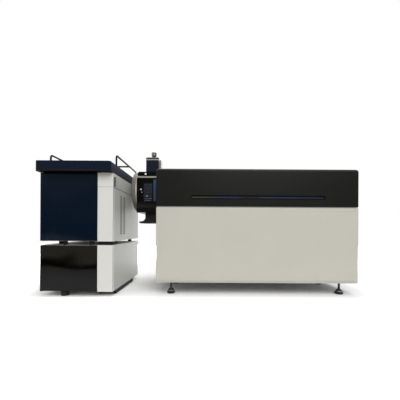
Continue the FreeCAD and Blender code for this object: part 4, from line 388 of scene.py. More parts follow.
PROBE_BLUE = BandedPaint(
    "probe_gloss_blue", PROBE, 0.14, shade=0.04, marks=0.08, relief=0.03, start=0.714, end=0.8,
    bands=((0.0, (0.003, 0.003, 0.004)), (0.1, PROBE), (1.0, PROBE)))
CAP_BLACK = BandedPaint(
    "probe_cap_black", grey(0.005), 0.3, shade=0.05, marks=0.08, start=0.8, end=0.838, bands=((0.0, grey(0.004)),
    (0.03, (0.36, 0.34, 0.32)), (0.17, (0.42, 0.4, 0.38)), (0.2, grey(0.003)), (1.0, grey(0.003))))
BAR_CREAM = (0.37, 0.36, 0.29)
BAR_PAINT = BandedPaint(
    "pale_bar_paint", BAR_CREAM, 0.36, scale=1200.0, relief=0.2, start=0.677, end=0.8, bands=((0.0, BAR_CREAM),
    (0.09, BAR_CREAM), (0.11, (0.24, 0.24, 0.235)), (1.0, (0.24, 0.24, 0.235))))
HANDLE_BLUE = Finish("handle_blue", (0.004, 0.007, 0.01), 0.26, shade=0.05, marks=0.08, relief=0.05, specular=0.32)
PANE = TintedPane("tinted_pane", (0.26, 0.32, 0.42), 0.05, relief=0.01, clear=0.93)
CERAMIC = Finish("cream_ceramic", (0.7, 0.66, 0.56), 0.3, scale=600.0, shade=0.04)
CLEAR_GLASS = TintedPane("vial_glass", (0.8, 0.85, 0.85), 0.05, shade=0.01, relief=0.01, slot="window")
CAP_BLUE = Finish("vial_cap_blue", (0.02, 0.07, 0.25), 0.4, shade=0.05, relief=0.2, slot="handle_blue")
TUBE_PALE = Finish("fluoropolymer_tube", (0.55, 0.53, 0.46), 0.3, relief=0.03, slot="strip_white")
TUBE_TAN = Finish("tan_polymer", (0.36, 0.22, 0.1), 0.35, relief=0.03, slot="black_plastic")
WHITE_LAMP = Finish(
    "white_indicator", (0.6, 0.6, 0.58), 0.3, glow=(1.0, 1.0, 0.95), glow_strength=0.2, slot="light")
RED_LAMP = Finish("rose_indicator", (0.5, 0.33, 0.32), 0.3, glow=(0.5, 0.3, 0.3), glow_strength=0.15, slot="light")
GREEN_LAMP = Finish(
    "green_indicator", (0.02, 0.05, 0.02), 0.3, glow=(0.03, 0.08, 0.03), glow_strength=0.1, slot="light")
STATUS_STRIP = BandedPaint(
    "status_strip", (0.05, 0.05, 0.06), 0.3, axis="X", start=-0.053, end=0.667, band_glow=0.3,
    bands=((0.0, (0.03, 0.03, 0.024)), (0.17, grey(0.02)), (0.2, (0.008, 0.013, 0.055)),
    (0.36, (0.006, 0.01, 0.04)), (0.4, (0.003, 0.003, 0.004)), (0.5, (0.004, 0.004, 0.003)),
    (0.53, (0.008, 0.018, 0.05)), (0.68, (0.008, 0.016, 0.045)), (0.73, (0.006, 0.015, 0.06)),
    (0.97, (0.01, 0.01, 0.03))))
FOOT_BLACK = BandedPaint(
    "levelling_foot", grey(0.01), 0.4, shade=0.1, relief=0.3, end=0.086, bands=((0.0, grey(0.006)),
    (0.4, grey(0.01)), (0.5, (0.05, 0.05, 0.048)), (1.0, (0.05, 0.05, 0.048))))
# Painted shade: black sheets just inside the vent slots stand in for the shade inside the case.
VENT_SHADE_SHEET = Finish(
    "vent_shade_sheet", grey(0.008), 0.9, scale=400.0, shade=0.3, relief=0.8, height=0.001, slot="black_plastic")
WHITE_PLASTIC = Finish("white_plastic", (0.8, 0.79, 0.75), 0.35, shade=0.02, slot="strip_white")
GOLD = Finish("gold_contacts", (0.8, 0.58, 0.25), 0.25, Grain.BRUSHED, metallic=1.0, shade=0.04, slot="steel")
MAT_RUBBER = Finish(
    "tray_mat", (0.03, 0.032, 0.034), 0.7, scale=500.0, shade=0.12, marks=0.1, relief=0.5, slot="rubber")
KNOB_STEEL = Finish(
    "black_chrome", (0.035, 0.034, 0.032), 0.14, shade=0.04, marks=0.06, relief=0.03, specular=0.9, coat=0.5)
# Painted shade: thin dark strips on the joins between the modules stand in for the shadow in the seams.
SEAM_SHADE = Finish("painted_seam_shadow", (0.01, 0.01, 0.009), 0.7, scale=700.0, shade=0.1, relief=0.2, slot="rubber")
# Painted shade: the grey strip along the front seam below the oven's white strip stands in for that seam's shadow.
GREY_SEAM = replace(GREY_SHEET, slot="rubber")
CAPILLARY = 0.0008


# Modelling helpers
BEVELLED = math.radians(35.0)
TURNED = math.radians(30.0)


def drop_selection() -> None:
    """Deselects every object, so that an operator acts on the new piece alone."""
    bpy.ops.object.select_all(action="DESELECT")


def choose(piece: Piece) -> None:
    """Makes a piece the only selected and the active object."""
    drop_selection()
    piece.select_set(True)
    bpy.context.view_layer.objects.active = piece


def bake(piece: Piece) -> None:
    """Puts a piece's place, turn and size into its mesh."""
    choose(piece)
    bpy.ops.object.transform_apply(location=True, rotation=True, scale=True)


@contextmanager
def editing_top(piece: Piece):
    """Edits a piece's mesh, with the faces that point up selected at the start."""
    upright = 0.9
    choose(piece)
    bpy.ops.object.mode_set(mode="EDIT")
    bpy.ops.mesh.select_mode(type="FACE")
    bpy.ops.mesh.select_all(action="DESELECT")
    bpy.ops.object.mode_set(mode="OBJECT")
    for face in piece.data.polygons:
        face.select = face.normal.z > upright
    bpy.ops.object.mode_set(mode="EDIT")
    yield
    bpy.ops.object.mode_set(mode="OBJECT")


def bevel_piece(piece: Piece, width: float) -> None:
    """Rounds the sharp edges of a piece and applies the rounding."""
    choose(piece)
    bevel = piece.modifiers.new("rounding", "BEVEL")
    bevel.width = width
    bevel.segments = 2
    bevel.limit_method = "ANGLE"
    bpy.ops.object.modifier_apply(modifier=bevel.name)
    bpy.ops.object.shade_smooth_by_angle(angle=BEVELLED)


def settle(piece: Piece, name: str, finish: Finish, body: str = ROOT) -> None:
    """Puts a piece's place into its mesh and gives it its name, finish and body.

    Args:
        piece: The modelled piece.
        name: Its plain name.
        finish: Its finish.
        body: The body that carries it.
    """
    bake(piece)
    piece.name = name
    piece.data.name = name
    piece.data.materials.clear()
    piece.data.materials.append(finish.material())
    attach(piece, body)
    log.info("piece %s on %s", name, body)


def fit(name: str, model: Piece, places: Iterable[Point], facing: Facing, finish: Finish, body: str = ROOT) -> None:
    """Copies a model made along +Z to each place, and joins the copies into one piece.

    Args:
        name: The piece's plain name.
        model: The finished model at the origin.
        places: Where each copy goes.
        facing: Where the model's top points.
        finish: The piece's finish.
        body: The body that carries it.
    """
    made = []
    for place in places:
        twin = model.copy()
        twin.data = model.data.copy()
        bpy.context.collection.objects.link(twin)
        twin.matrix_world = Matrix.Translation(place) @ facing.turn()
        made.append(twin)
    bpy.data.objects.remove(model)
    drop_selection()
    for twin in made:
        twin.select_set(True)
    bpy.context.view_layer.objects.active = made[0]
    bpy.ops.object.transform_apply(location=True, rotation=True, scale=True)
    if len(made) > 1:
        bpy.ops.object.join()
    settle(bpy.context.active_object, name, finish, body)


def screw_model(radius: float, height: float) -> Piece:
    """Models a cap screw along +Z with a six-sided socket in its head."""
    bpy.ops.mesh.primitive_cylinder_add(vertices=18, radius=radius, depth=height, location=(0.0, 0.0, height / 2))
    head = bpy.context.active_object
    with editing_top(head):
        bpy.ops.mesh.inset(thickness=radius * 0.5, depth=0.0)
        bpy.ops.mesh.extrude_region_move(TRANSFORM_OT_translate={"value": (0.0, 0.0, -height * 0.55)})
    bevel_piece(head, radius * 0.12)
    return head


def plate_model(size: Point, rounding: float) -> Piece:
    """Models a flat plate along +Z with a shallow raised face and rounded edges.

    Args:
        size: Width, height and thickness.
        rounding: Radius of its edges.

    Returns:
        The plate, its back at the origin.
    """
    bpy.ops.mesh.primitive_cube_add(size=1.0, location=(0.0, 0.0, size[2] / 2), scale=size)
    plate = bpy.context.active_object
    bake(plate)
    with editing_top(plate):
        bpy.ops.mesh.inset(thickness=min(size[0], size[1]) * 0.12, depth=size[2] * 0.15)
    bevel_piece(plate, rounding)
    return plate


def ring_model(radius: float, wire: float) -> Piece:
    """Models a round ring about +Z, resting on the origin's plane."""
    bpy.ops.mesh.primitive_torus_add(
        major_radius=radius, minor_radius=wire, major_segments=40, minor_segments=10, location=(0.0, 0.0, wire * 0.6))
    ring = bpy.context.active_object
    bake(ring)
    bpy.ops.object.shade_smooth()
    return ring


def turned_model(profile: Sequence[Span], steps: int) -> Piece:
    """Models a turned fitting about +Z from its half outline.

    Args:
        profile: Radius and height of each point, from bottom to top; flat ends are closed to the axis.
        steps: Number of faces round the fitting.

    Returns:
        The closed turned piece.
    """
    outline = [(0.0, profile[0][1]), *profile]
    if profile[-1][0]:
        outline.append((0.0, profile[-1][1]))
    bpy.ops.mesh.primitive_plane_add(size=0.001)
    piece = bpy.context.active_object
    bpy.ops.object.mode_set(mode="EDIT")
    bpy.ops.mesh.select_all(action="SELECT")
    bpy.ops.mesh.delete(type="VERT")
    bpy.ops.object.mode_set(mode="OBJECT")
    mesh = piece.data
    mesh.vertices.add(len(outline))
    mesh.edges.add(len(outline) - 1)
    for index, (radius, height) in enumerate(outline):
        mesh.vertices[index].co = (radius, 0.0, height)
    for index, edge in enumerate(mesh.edges):
        edge.vertices = (index, index + 1)
    mesh.update()
    choose(piece)
    bpy.ops.object.mode_set(mode="EDIT")
    bpy.ops.mesh.select_all(action="SELECT")
    bpy.ops.mesh.spin(steps=steps, angle=math.tau, center=(0.0, 0.0, 0.0), axis=(0.0, 0.0, 1.0))
    bpy.ops.mesh.select_all(action="SELECT")
    bpy.ops.mesh.remove_doubles(threshold=1e-6)
    bpy.ops.mesh.normals_make_consistent(inside=False)
    bpy.ops.object.mode_set(mode="OBJECT")
    bpy.ops.object.shade_smooth_by_angle(angle=TURNED)
    return piece


def tube(name: str, route: Sequence[Point], radius: float, finish: Finish, body: str = ROOT) -> None:
    """Adds a rigid bent tube along a smooth route.

    Args:
        name: Its plain name.
        route: Control points from end to end.
        radius: Outer radius.
        finish: Its finish.
        body: The body that carries it.
    """
    bpy.ops.curve.primitive_nurbs_path_add()
    path = bpy.context.active_object
    path.data.splines.clear()
    spline = path.data.splines.new("NURBS")
    spline.points.add(len(route) - 1)
    for point, place in zip(spline.points, route):
        point.co = (*place, 1.0)
    spline.order_u = 3
    spline.use_endpoint_u = True
    spline.resolution_u = 6
    path.data.dimensions = "3D"
    path.data.bevel_depth = radius
    path.data.bevel_resolution = 3
    path.data.use_fill_caps = True
    choose(path)
    bpy.ops.object.convert(target="MESH")
    bpy.ops.object.shade_smooth()
    settle(bpy.context.active_object, name, finish, body)


def plate_at(name: str, centre: Point, size: Point, facing: Facing, finish: Finish, body: str = ROOT) -> None:
    """Adds one flat plate with its back at a place.

    Args:
        name: Its plain name.
        centre: Middle of its back.
        size: Its two sides and its thickness; the first side lies along X, or along Z on a side wall.
        facing: Where its face points.
        finish: Its finish.
        body: The body that carries it.
    """
    fit(name, plate_model(size, min(size) * 0.3), [centre], facing, finish, body)


def corner_seam(name: str, low: Vector, high: Vector, top: float) -> None:
    """Adds a thin dark strip, painted shade for the upright seam behind the right edge of a front strip, from the
    strip's low corner to a top.
    """
    behind, short, wide, thick = 0.0035, 0.004, 0.003, 0.0003
    centre = (high.x, low.y + behind, (low.z + top) / 2)
    plate_at(name, centre, (top - low.z - short, wide, thick), Facing.RIGHT, SEAM_SHADE)


def screws(name: str, places: Iterable[Point], facing: Facing, radius: float = 0.0028,
           height: float = 0.0008) -> None:
    """Adds a group of socket screws with low heads to a steel part or a cabinet wall."""
    fit(name, screw_model(radius, height), places, facing, STEEL)


def circle(middle: Span, radius: float, count: int, first: float = 0.0) -> list[Span]:
    """Returns evenly spaced points of a circle in order, the first at an angle in degrees."""
    angles = [math.radians(first + 360.0 / count * step) for step in range(count)]
    return [(middle[0] + radius * math.cos(angle), middle[1] + radius * math.sin(angle)) for angle in angles]


# Sub-assemblies
@dataclass
class RearPanel:
    """Small fittings on a cabinet's rear wall: screws and a row of signal sockets."""

    label: str
    node: str
    sockets: int
    screw: float = 0.003
    edge: float = 0.012
    pitch: float = 0.045

    def build(self) -> None:
        """Adds the fittings by the box of the cabinet's node."""
        low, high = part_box(self.node)
        back = high.y
        xs = (low.x + self.edge, (low.x + high.x) / 2, high.x - self.edge)
        spots = product(xs, [back], (low.z + self.edge, high.z - self.edge))
        screws(f"{self.label}_rear_screws", spots, Facing.BACK, self.screw, 0.002)
        left = low.x + 0.19
        level = low.z + min(0.05, (high.z - low.z) * 0.4)
        xs = [left + self.pitch * step for step in range(self.sockets)]
        shell, face = plate_model((0.033, 0.013, 0.005), 0.0012), plate_model((0.024, 0.008, 0.0012), 0.0005)
        fit(f"{self.label}_socket_shells", shell, [(x, back, level) for x in xs], Facing.BACK, STEEL)
        fit(f"{self.label}_socket_faces", face, [(x, back + 0.0048, level) for x in xs], Facing.BACK, BLACK_PLASTIC)
        jacks = [(x + side, back, level) for x in xs for side in (-0.0205, 0.0205)]
        screws(f"{self.label}_jack_screws", jacks, Facing.BACK, 0.0024, 0.006)


@dataclass
class DoorFittings:
    """Fittings on the inside of a module's door: magnet plates, soft bumpers and a stiffening rib."""

    node: str

    def build(self) -> None:
        """Adds the fittings by the box of the door's node, riding on the door."""
        low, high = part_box(self.node)
        back = high.y
        edge = high.x - 0.03
        latches = product([edge], [back], (low.z + 0.05, high.z - 0.05))
        magnet = plate_model((0.012, 0.03, 0.003), 0.0008)
        fit(f"{self.node}_magnets", magnet, latches, Facing.BACK, STEEL, self.node)
        pads = product((low.x + 0.03, edge), [back], (low.z + 0.02, high.z - 0.02))
        bumper = turned_model(((0.005, 0.0), (0.005, 0.0012), (0.0035, 0.0025), (0.0, 0.0028)), 20)
        fit(f"{self.node}_bumpers", bumper, pads, Facing.BACK, RUBBER, self.node)
        middle = ((low.x + high.x) / 2, back, (low.z + high.z) / 2)
        size = (0.16, (high.z - low.z) * 0.62, 0.0025)
        plate_at(f"{self.node}_rib", middle, size, Facing.BACK, GREY_SHEET, self.node)


class SubAssembly:
    """A part of the instrument: the finishes of its CAD nodes, and the small pieces added to it."""

    dress: ClassVar[dict[Finish, str]] = {}

    def build(self) -> None:
        """Dresses the nodes and adds the pieces."""
        for finish, labels in self.dress.items():
            for label in labels.split():
                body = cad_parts[label]
                body.data.materials.clear()
                body.data.materials.append(finish.material())
        self.add_pieces()
        log.info("%s built with %d finishes", type(self).__name__, len(self.dress))

    def add_pieces(self) -> None:
        """Adds nothing unless a sub-assembly has pieces of its own."""


@dataclass
class PumpModule(SubAssembly):
    """Lower module: two pump heads behind a gloss door."""

    dress = {
        SILVER_PAINT: "pump_case", DARK_DOOR: "pump_door", WHITE_STRIP: "pump_strip", RUBBER: "pump_feet",
        GREY_SHEET: "pump_bulkhead", STEEL: "pump_heads purge_valve door_pins", ALUMINIUM: "pump_drives",
        BLACK_PLASTIC: "purge_knob degasser pump_switch"}

    screw_circle: float = 0.018

    def add_pieces(self) -> None:
        """Adds the steel capillaries, the heads' screws and the fittings on their valves."""
        low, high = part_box("pump_heads")
        valve_low, valve_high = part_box("purge_valve")
        front = low.y
        inset = (high.z - low.z) * 0.36
        lefts = (low.x + inset, high.x - inset)
        middle = (low.z + high.z) / 2
        port = front + 0.014
        fitting = turned_model(((0.004, 0.0), (0.004, 0.005), (0.0026, 0.006), (0.0026, 0.011)), 6)
        fit("head_fittings", fitting, product(lefts, [port], [high.z]), Facing.UP, STEEL)
        for index, (x, label) in enumerate(zip(lefts, ("pump_line_left", "pump_line_right"))):
            lift = high.z + 0.022 + 0.008 * index
            entry = valve_low.x + 0.014 + 0.012 * index
            route = [
                (x, port, high.z + 0.010), (x, port, lift), (x + 0.012, port, lift + 0.004),
                (entry - 0.008, port - 0.004, lift + 0.004), (entry, port - 0.004, valve_high.z + 0.016),
                (entry, port + 0.004, valve_high.z)]
            tube(label, route, CAPILLARY, STEEL)
        ring = [(x, front, z) for left in lefts for x, z in circle((left, middle), self.screw_circle, 4, 45.0)]
        screws("head_screws", ring, Facing.FRONT, 0.003, 0.003)
        nozzle = turned_model(((0.0042, 0.0), (0.0042, 0.006), (0.003, 0.007), (0.003, 0.012)), 6)
        fit("head_inlets", nozzle, product(lefts, [port], [low.z]), Facing.DOWN, TUBE_PALE)
        degas_low, degas_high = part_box("degasser")
        for index, x in enumerate(lefts):
            end = (degas_low.x + 0.03 + 0.04 * index, degas_low.y, degas_high.z - 0.02)
            drop = low.z - 0.034 - 0.008 * index
            route = [
                (x, port, low.z - 0.010), (x, port, drop), (x + 0.02, port - 0.006, drop - 0.004),
                (end[0] - 0.03, end[1] - 0.012, end[2]), (end[0], end[1] - 0.012, end[2]), end]
            tube(f"solvent_line_{index + 1}", route, 0.0016, TUBE_PALE)
        strip_low, strip_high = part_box("pump_strip")
        corner_seam("pump_corner_seam", strip_low, strip_high, strip_high.z)
        DoorFittings("pump_door").build()
        RearPanel("pump", "pump_case", 3).build()


@dataclass
class SamplerModule(SubAssembly):
    """Middle module: cooled vial rack, needle on its rail and the injection valve."""

    dress = {
        SILVER_PAINT: "sampler_case", NAVY_DOOR: "sampler_door", WHITE_STRIP: "sampler_strip", RUBBER: "stack_feet",
        ALUMINIUM: "cooling_deck needle_carriage", BLACK_PLASTIC: "vial_rack needle_arm",
        GREY_SHEET: "sampler_bulkhead", STEEL: "gantry_rail injection_valve"}
    port_circle: float = 0.011
    pitch: float = 0.02
    pocket_depth: float = 0.028

    def add_pieces(self) -> None:
        """Adds the valve's fittings, its sample loop, the rail's screws, the vials and the dark sheets that paint
        shade behind the vents.
        """
        low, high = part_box("injection_valve")
        level = (low.z + high.z) / 2
        ports = [(x, low.y, z) for x, z in circle(((low.x + high.x) / 2, level), self.port_circle, 6, 30.0)]
        nut = turned_model(((0.0032, 0.0), (0.0032, 0.009), (0.0022, 0.0105)), 6)
        fit("valve_fittings", nut, ports, Facing.FRONT, TUBE_TAN)
        (x, y, z), (end_x, _, end_z) = ports[1], ports[4]
        loop = [
            (x, y - 0.01, z), (x, y - 0.02, z), (x - 0.012, y - 0.028, z + 0.02),
            (x - 0.036, y - 0.028, level + 0.01), (x - 0.036, y - 0.028, level - 0.01),
            (end_x - 0.012, y - 0.028, end_z - 0.014), (end_x, y - 0.02, end_z), (end_x, y - 0.01, end_z)]
        tube("sample_loop", loop, CAPILLARY, STEEL)
        rail_low, rail_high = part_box("gantry_rail")
        middle = (rail_low.z + rail_high.z) / 2
        spots = [(rail_low.x + 0.02 + 0.056 * step, rail_low.y, middle) for step in range(1, 7)]
        screws("rail_screws", spots, Facing.FRONT)
        strip_low, strip_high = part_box("sampler_strip")
        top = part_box("oven_strip")[1].z
        corner_seam("sampler_corner_seam", strip_low, strip_high, top)
        self.fill_rack()
        self.line_vents()
        DoorFittings("sampler_door").build()
        RearPanel("sampler", "sampler_case", 3).build()

    def fill_rack(self) -> None:
        """Stands capped glass vials in the rack's first four rows; the row under the needle stays free."""
        low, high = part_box("vial_rack")
        left, front = (low.x + high.x) / 2 - 4 * self.pitch, (low.y + high.y) / 2 - 2 * self.pitch
        spots = [
            (left + self.pitch * column, front + self.pitch * line)
            for line in range(4) for column in range(9) if (3 * column + 5 * line) % 7]
        glass = ((0.0052, 0.0), (0.0054, 0.001), (0.0054, 0.0255), (0.0044, 0.0285), (0.0044, 0.0305))
        cap = ((0.0055, 0.0), (0.0057, 0.0008), (0.0057, 0.0062), (0.005, 0.007), (0.0028, 0.007), (0.0026, 0.0064))
        seal = ((0.0025, 0.0), (0.0023, 0.0004), (0.0, 0.0005))
        floor = high.z - self.pocket_depth
        tops = floor + 0.0290
        for name, profile, steps, level, finish in (
                ("vials", glass, 16, floor, CLEAR_GLASS), ("vial_caps", cap, 16, tops, CAP_BLUE),
                ("vial_seals", seal, 12, tops + 0.0063, WHITE_PLASTIC)):
            fit(name, turned_model(profile, steps), [(x, y, level) for x, y in spots], Facing.UP, finish)

    def line_vents(self) -> None:
        """Puts black sheets just inside both sides' vent slots, painted shade that darkens the slots."""
        low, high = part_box("sampler_case")
        size = (high.z - low.z - 0.046, 0.104, 0.0019)
        deep, middle = high.y - 0.356, low.z + 0.023 + size[0] / 2
        plate_at("vent_shade_right", (high.x - 0.0024, deep, middle), size, Facing.RIGHT, VENT_SHADE_SHEET)
        plate_at("vent_shade_left", (low.x + 0.0024, deep, middle), size, Facing.LEFT, VENT_SHADE_SHEET)


@dataclass
class OvenModule(SubAssembly):
    """Top module: heated block and separation column behind the same door."""

    dress = {SILVER_PAINT: "oven_case", WHITE_STRIP: "oven_strip", ALUMINIUM: "oven_block", STEEL: "column"}
    ports: Span = (0.601, 0.625)
    port_y: float = -0.285
    door_room: float = 0.04

    def add_pieces(self) -> None:
        """Adds the painted seam shadows, the tube ports' grommets, the block's screws and the column's connections.
        """
        self.add_seams()
        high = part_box("oven_case")[1]
        bezel = (high.x, self.port_y - 0.005, 0.613)
        plate_at("port_bezel", bezel, (0.05, 0.027, 0.0008), Facing.RIGHT, BLACK_PLASTIC)
        places = [(high.x + 0.0006, self.port_y, z) for z in self.ports]
        fit("port_grommets", ring_model(0.0066, 0.0014), places, Facing.RIGHT, RUBBER)
        stub = turned_model(((0.0048, -0.006), (0.0048, 0.0014), (0.0016, 0.0018), (0.0014, 0.0002)), 20)
        fit("port_tubes", stub, places, Facing.RIGHT, WHITE_PLASTIC)
        start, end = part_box("column")
        level = (start.z + end.z) / 2
        row = (start.y + end.y) / 2
        for name, x, facing in (("column_outlet", end.x, Facing.RIGHT), ("column_inlet", start.x, Facing.LEFT)):
            nut = turned_model(((0.005, 0.0), (0.005, 0.008), (0.003, 0.0095), (0.003, 0.014)), 6)
            fit(name, nut, [(x, row, level)], facing, STEEL)
        wall = high.x - 0.004
        out = [
            (end.x + 0.013, row, level), (end.x + 0.03, row, level + 0.001),
            (end.x + 0.07, row - 0.02, level + 0.01), (high.x - 0.03, self.port_y + 0.01, level),
            (high.x - 0.018, self.port_y, self.ports[0]), (wall, self.port_y, self.ports[0])]
        back = [
            (start.x - 0.013, row, level), (start.x - 0.04, row, level + 0.001),
            (start.x - 0.055, row - 0.01, level + 0.012), (start.x - 0.04, row - 0.04, level + 0.014),
            (end.x + 0.02, row - 0.05, level + 0.014), (high.x - 0.02, self.port_y + 0.006, self.ports[1]),
            (wall, self.port_y, self.ports[1])]
        tube("column_outlet_line", out, CAPILLARY, STEEL)
        tube("column_inlet_line", back, CAPILLARY, STEEL)
        block_low, block_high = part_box("oven_block")
        edge = 0.015
        rows = (block_low.y + edge, block_high.y - edge)
        spots = product((block_low.x + edge, block_high.x - edge), rows, [block_high.z])
        screws("block_screws", spots, Facing.UP, 0.003, 0.002)
        clamp = ((start.x + end.x) / 2, row, end.z)
        plate_at("block_clamp", clamp, (0.018, 0.05, 0.003), Facing.UP, ALUMINIUM)
        RearPanel("oven", "oven_case", 2).build()

    def add_seams(self) -> None:
        """Adds thin strips, painted shade for the seam over the module below, with room for the open door at the
        left.
        """
        low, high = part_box("oven_case")
        strip_low, strip_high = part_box("oven_strip")
        short, wide, thick = 0.006, 0.003, 0.0004
        half, deep = (low.y + high.y) / 2, high.y - low.y - short
        left = (low.x, half + self.door_room / 2, low.z)
        rear = ((low.x + high.x) / 2, high.y, low.z)
        front = ((strip_low.x + strip_high.x) / 2, strip_low.y, low.z)
        plate_at("oven_seam_right", (high.x, half, low.z), (wide, deep, thick), Facing.RIGHT, SEAM_SHADE)
        plate_at("oven_seam_left", left, (wide, deep - self.door_room, thick), Facing.LEFT, SEAM_SHADE)
        plate_at("oven_seam_rear", rear, (high.x - low.x - short, wide, thick), Facing.BACK, SEAM_SHADE)
        size = (strip_high.x - strip_low.x - short, 0.0016, thick)
        plate_at("oven_seam_front", front, size, Facing.FRONT, GREY_SEAM)


@dataclass
class SolventTray(SubAssembly):
    """Open tray on the stack with its two wire rails."""

    dress = {NAVY_TRAY: "solvent_tray", BLACK_WIRE: "tray_rails"}
    mat_thick: float = 0.0012
    leg_inset: Span = (0.005, 0.0053)

    def add_pieces(self) -> None:
        """Adds the ribbed mat with its bottle rings, and the rosettes under the rails' legs."""
        low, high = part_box("solvent_tray")
        rail_low, rail_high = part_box("tray_rails")
        floor = rail_low.z
        middle = (low.x + high.x) / 2
        mat = (middle, (low.y + high.y) / 2, floor)
        plate_at("tray_mat", mat, (0.34, 0.54, self.mat_thick), Facing.UP, MAT_RUBBER)
        top = floor + self.mat_thick
        ribs = [(middle, low.y + 0.05 + 0.02 * step, top) for step in range(24)]
        fit("mat_ribs", plate_model((0.3, 0.003, 0.0008), 0.0002), ribs, Facing.UP, MAT_RUBBER)
        spots = [(middle + side, low.y + 0.11 + 0.115 * step, top) for side in (-0.085, 0.085) for step in range(4)]
        fit("bottle_rings", ring_model(0.046, 0.0016), spots, Facing.UP, MAT_RUBBER)
        side, end = self.leg_inset
        legs = product((rail_low.x + side, rail_high.x - side), (rail_low.y + end, rail_high.y - end), [floor])
        rosette = turned_model(((0.0098, 0.0), (0.0098, 0.0012), (0.0065, 0.0028)), 28)
        fit("rail_rosettes", rosette, legs, Facing.UP, BLACK_WIRE)


@dataclass
class IonSource(SubAssembly):
    """Ion source between the stack and the analyser."""

    dress = {
        FLANGE_PAINT: "source_flange", CAST_BAND: "source_housing", SOURCE_BLACK: "source_door source_head",
        PANE: "source_window", HANDLE_BLUE: "source_handle", BAR_PAINT: "source_bar", PROBE_BLUE: "probe_box",
        CAP_BLACK: "probe_cap", KNOB_STEEL: "probe_knob", STEEL: "sprayer sampling_cone",
        BLACK_PLASTIC: "source_bracket"}
    flange_centre: Span = (0.605, 0.045)
    bolt_circle: float = 0.11

    def add_pieces(self) -> None:
        """Adds the lamps, the head's plug, the flange's bolts and the gas lines."""
        low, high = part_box("source_door")
        face = low.y
        rose = turned_model(((0.0035, 0.0), (0.0035, 0.0008), (0.0026, 0.0016), (0.0, 0.002)), 20)
        fit("source_lamp_rose", rose, [(-0.371, face, 0.587)], Facing.FRONT, RED_LAMP, "source_door")
        white = turned_model(((0.0048, 0.0), (0.0048, 0.0008), (0.0036, 0.0016), (0.0, 0.002)), 20)
        fit("source_lamp_white", white, [(-0.3765, face, 0.604)], Facing.FRONT, WHITE_LAMP, "source_door")
        green = (0.008, 0.0035, 0.0003)
        plate_at("source_lamp_green", (-0.3875, face, 0.602), green, Facing.FRONT, GREEN_LAMP, "source_door")
        self.fill_window()
        cap = turned_model(((0.0062, 0.0), (0.0062, 0.0006), (0.005, 0.0012)), 24)
        fit("head_plug", cap, [(-0.348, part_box("source_head")[0].y, 0.7)], Facing.FRONT, WHITE_PLASTIC)
        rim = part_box("source_flange")[0].x
        bolts = [(rim, y, z) for z, y in circle(self.flange_centre, self.bolt_circle, 8)]
        screws("flange_bolts", bolts, Facing.LEFT, 0.0072, 0.006)
        house_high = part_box("source_housing")[1]
        fittings = [(-0.37, house_high.y, z) for z in (0.52, 0.56, 0.60)]
        nipple = turned_model(((0.008, 0.0), (0.008, 0.007), (0.005, 0.008), (0.005, 0.016)), 6)
        fit("gas_fittings", nipple, fittings, Facing.BACK, GOLD)
        wall = house_high.x
        for index, (x, y, z) in enumerate(fittings):
            reach = y + 0.05 + 0.008 * index
            route = [
                (x, y + 0.015, z), (x, y + 0.035, z), (x + 0.01, reach, z), (wall - 0.04, reach, z),
                (wall - 0.004, reach, z), (wall, reach, z)]
            tube(f"gas_line_{index + 1}", route, 0.003, TUBE_PALE)
        bracket_low, bracket_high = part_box("source_bracket")
        spots = product([bracket_high.x - 0.02], [bracket_low.y], (0.42, 0.444))
        screws("bracket_screws", spots, Facing.FRONT, 0.004, 0.002)

    def fill_window(self) -> None:
        """Adds what the door's window shows: a glowing spot, painted light for a bright spot in the chamber, a round
        port, a bent probe line and a drain grid.
        """
        low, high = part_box("source_window")
        back = high.y - 0.0002
        # Painted light: this spot behind the pane glows with the indicator finish, but it is no lamp; it stands in
        # for a bright spot in the chamber.
        lamp = turned_model(((0.006, 0.0), (0.006, 0.002), (0.004, 0.003)), 20)
        fit("chamber_glow_spot", lamp, [(-0.3395, back, 0.5635)], Facing.BACK, WHITE_LAMP, "source_door")
        port = turned_model(((0.0115, 0.0), (0.0115, 0.004), (0.009, 0.006)), 28)
        fit("chamber_port", port, [(-0.325, back, 0.616)], Facing.BACK, BLACK_PLASTIC, "source_door")
        route = ((low.x + 0.003, 0.562), (-0.35, 0.572), (-0.337, 0.586), (-0.326, 0.587), (high.x - 0.004, 0.583))
        bend = [(x, back + 0.002, z) for x, z in route]
        tube("probe_line", bend, 0.0018, POLISHED, "source_door")
        bars = product([(low.x + high.x) / 2], [back], (0.5345, 0.546))
        bar = plate_model((0.044, 0.004, 0.003), 0.0008)
        fit("drain_grid", bar, bars, Facing.BACK, ALUMINIUM, "source_door")


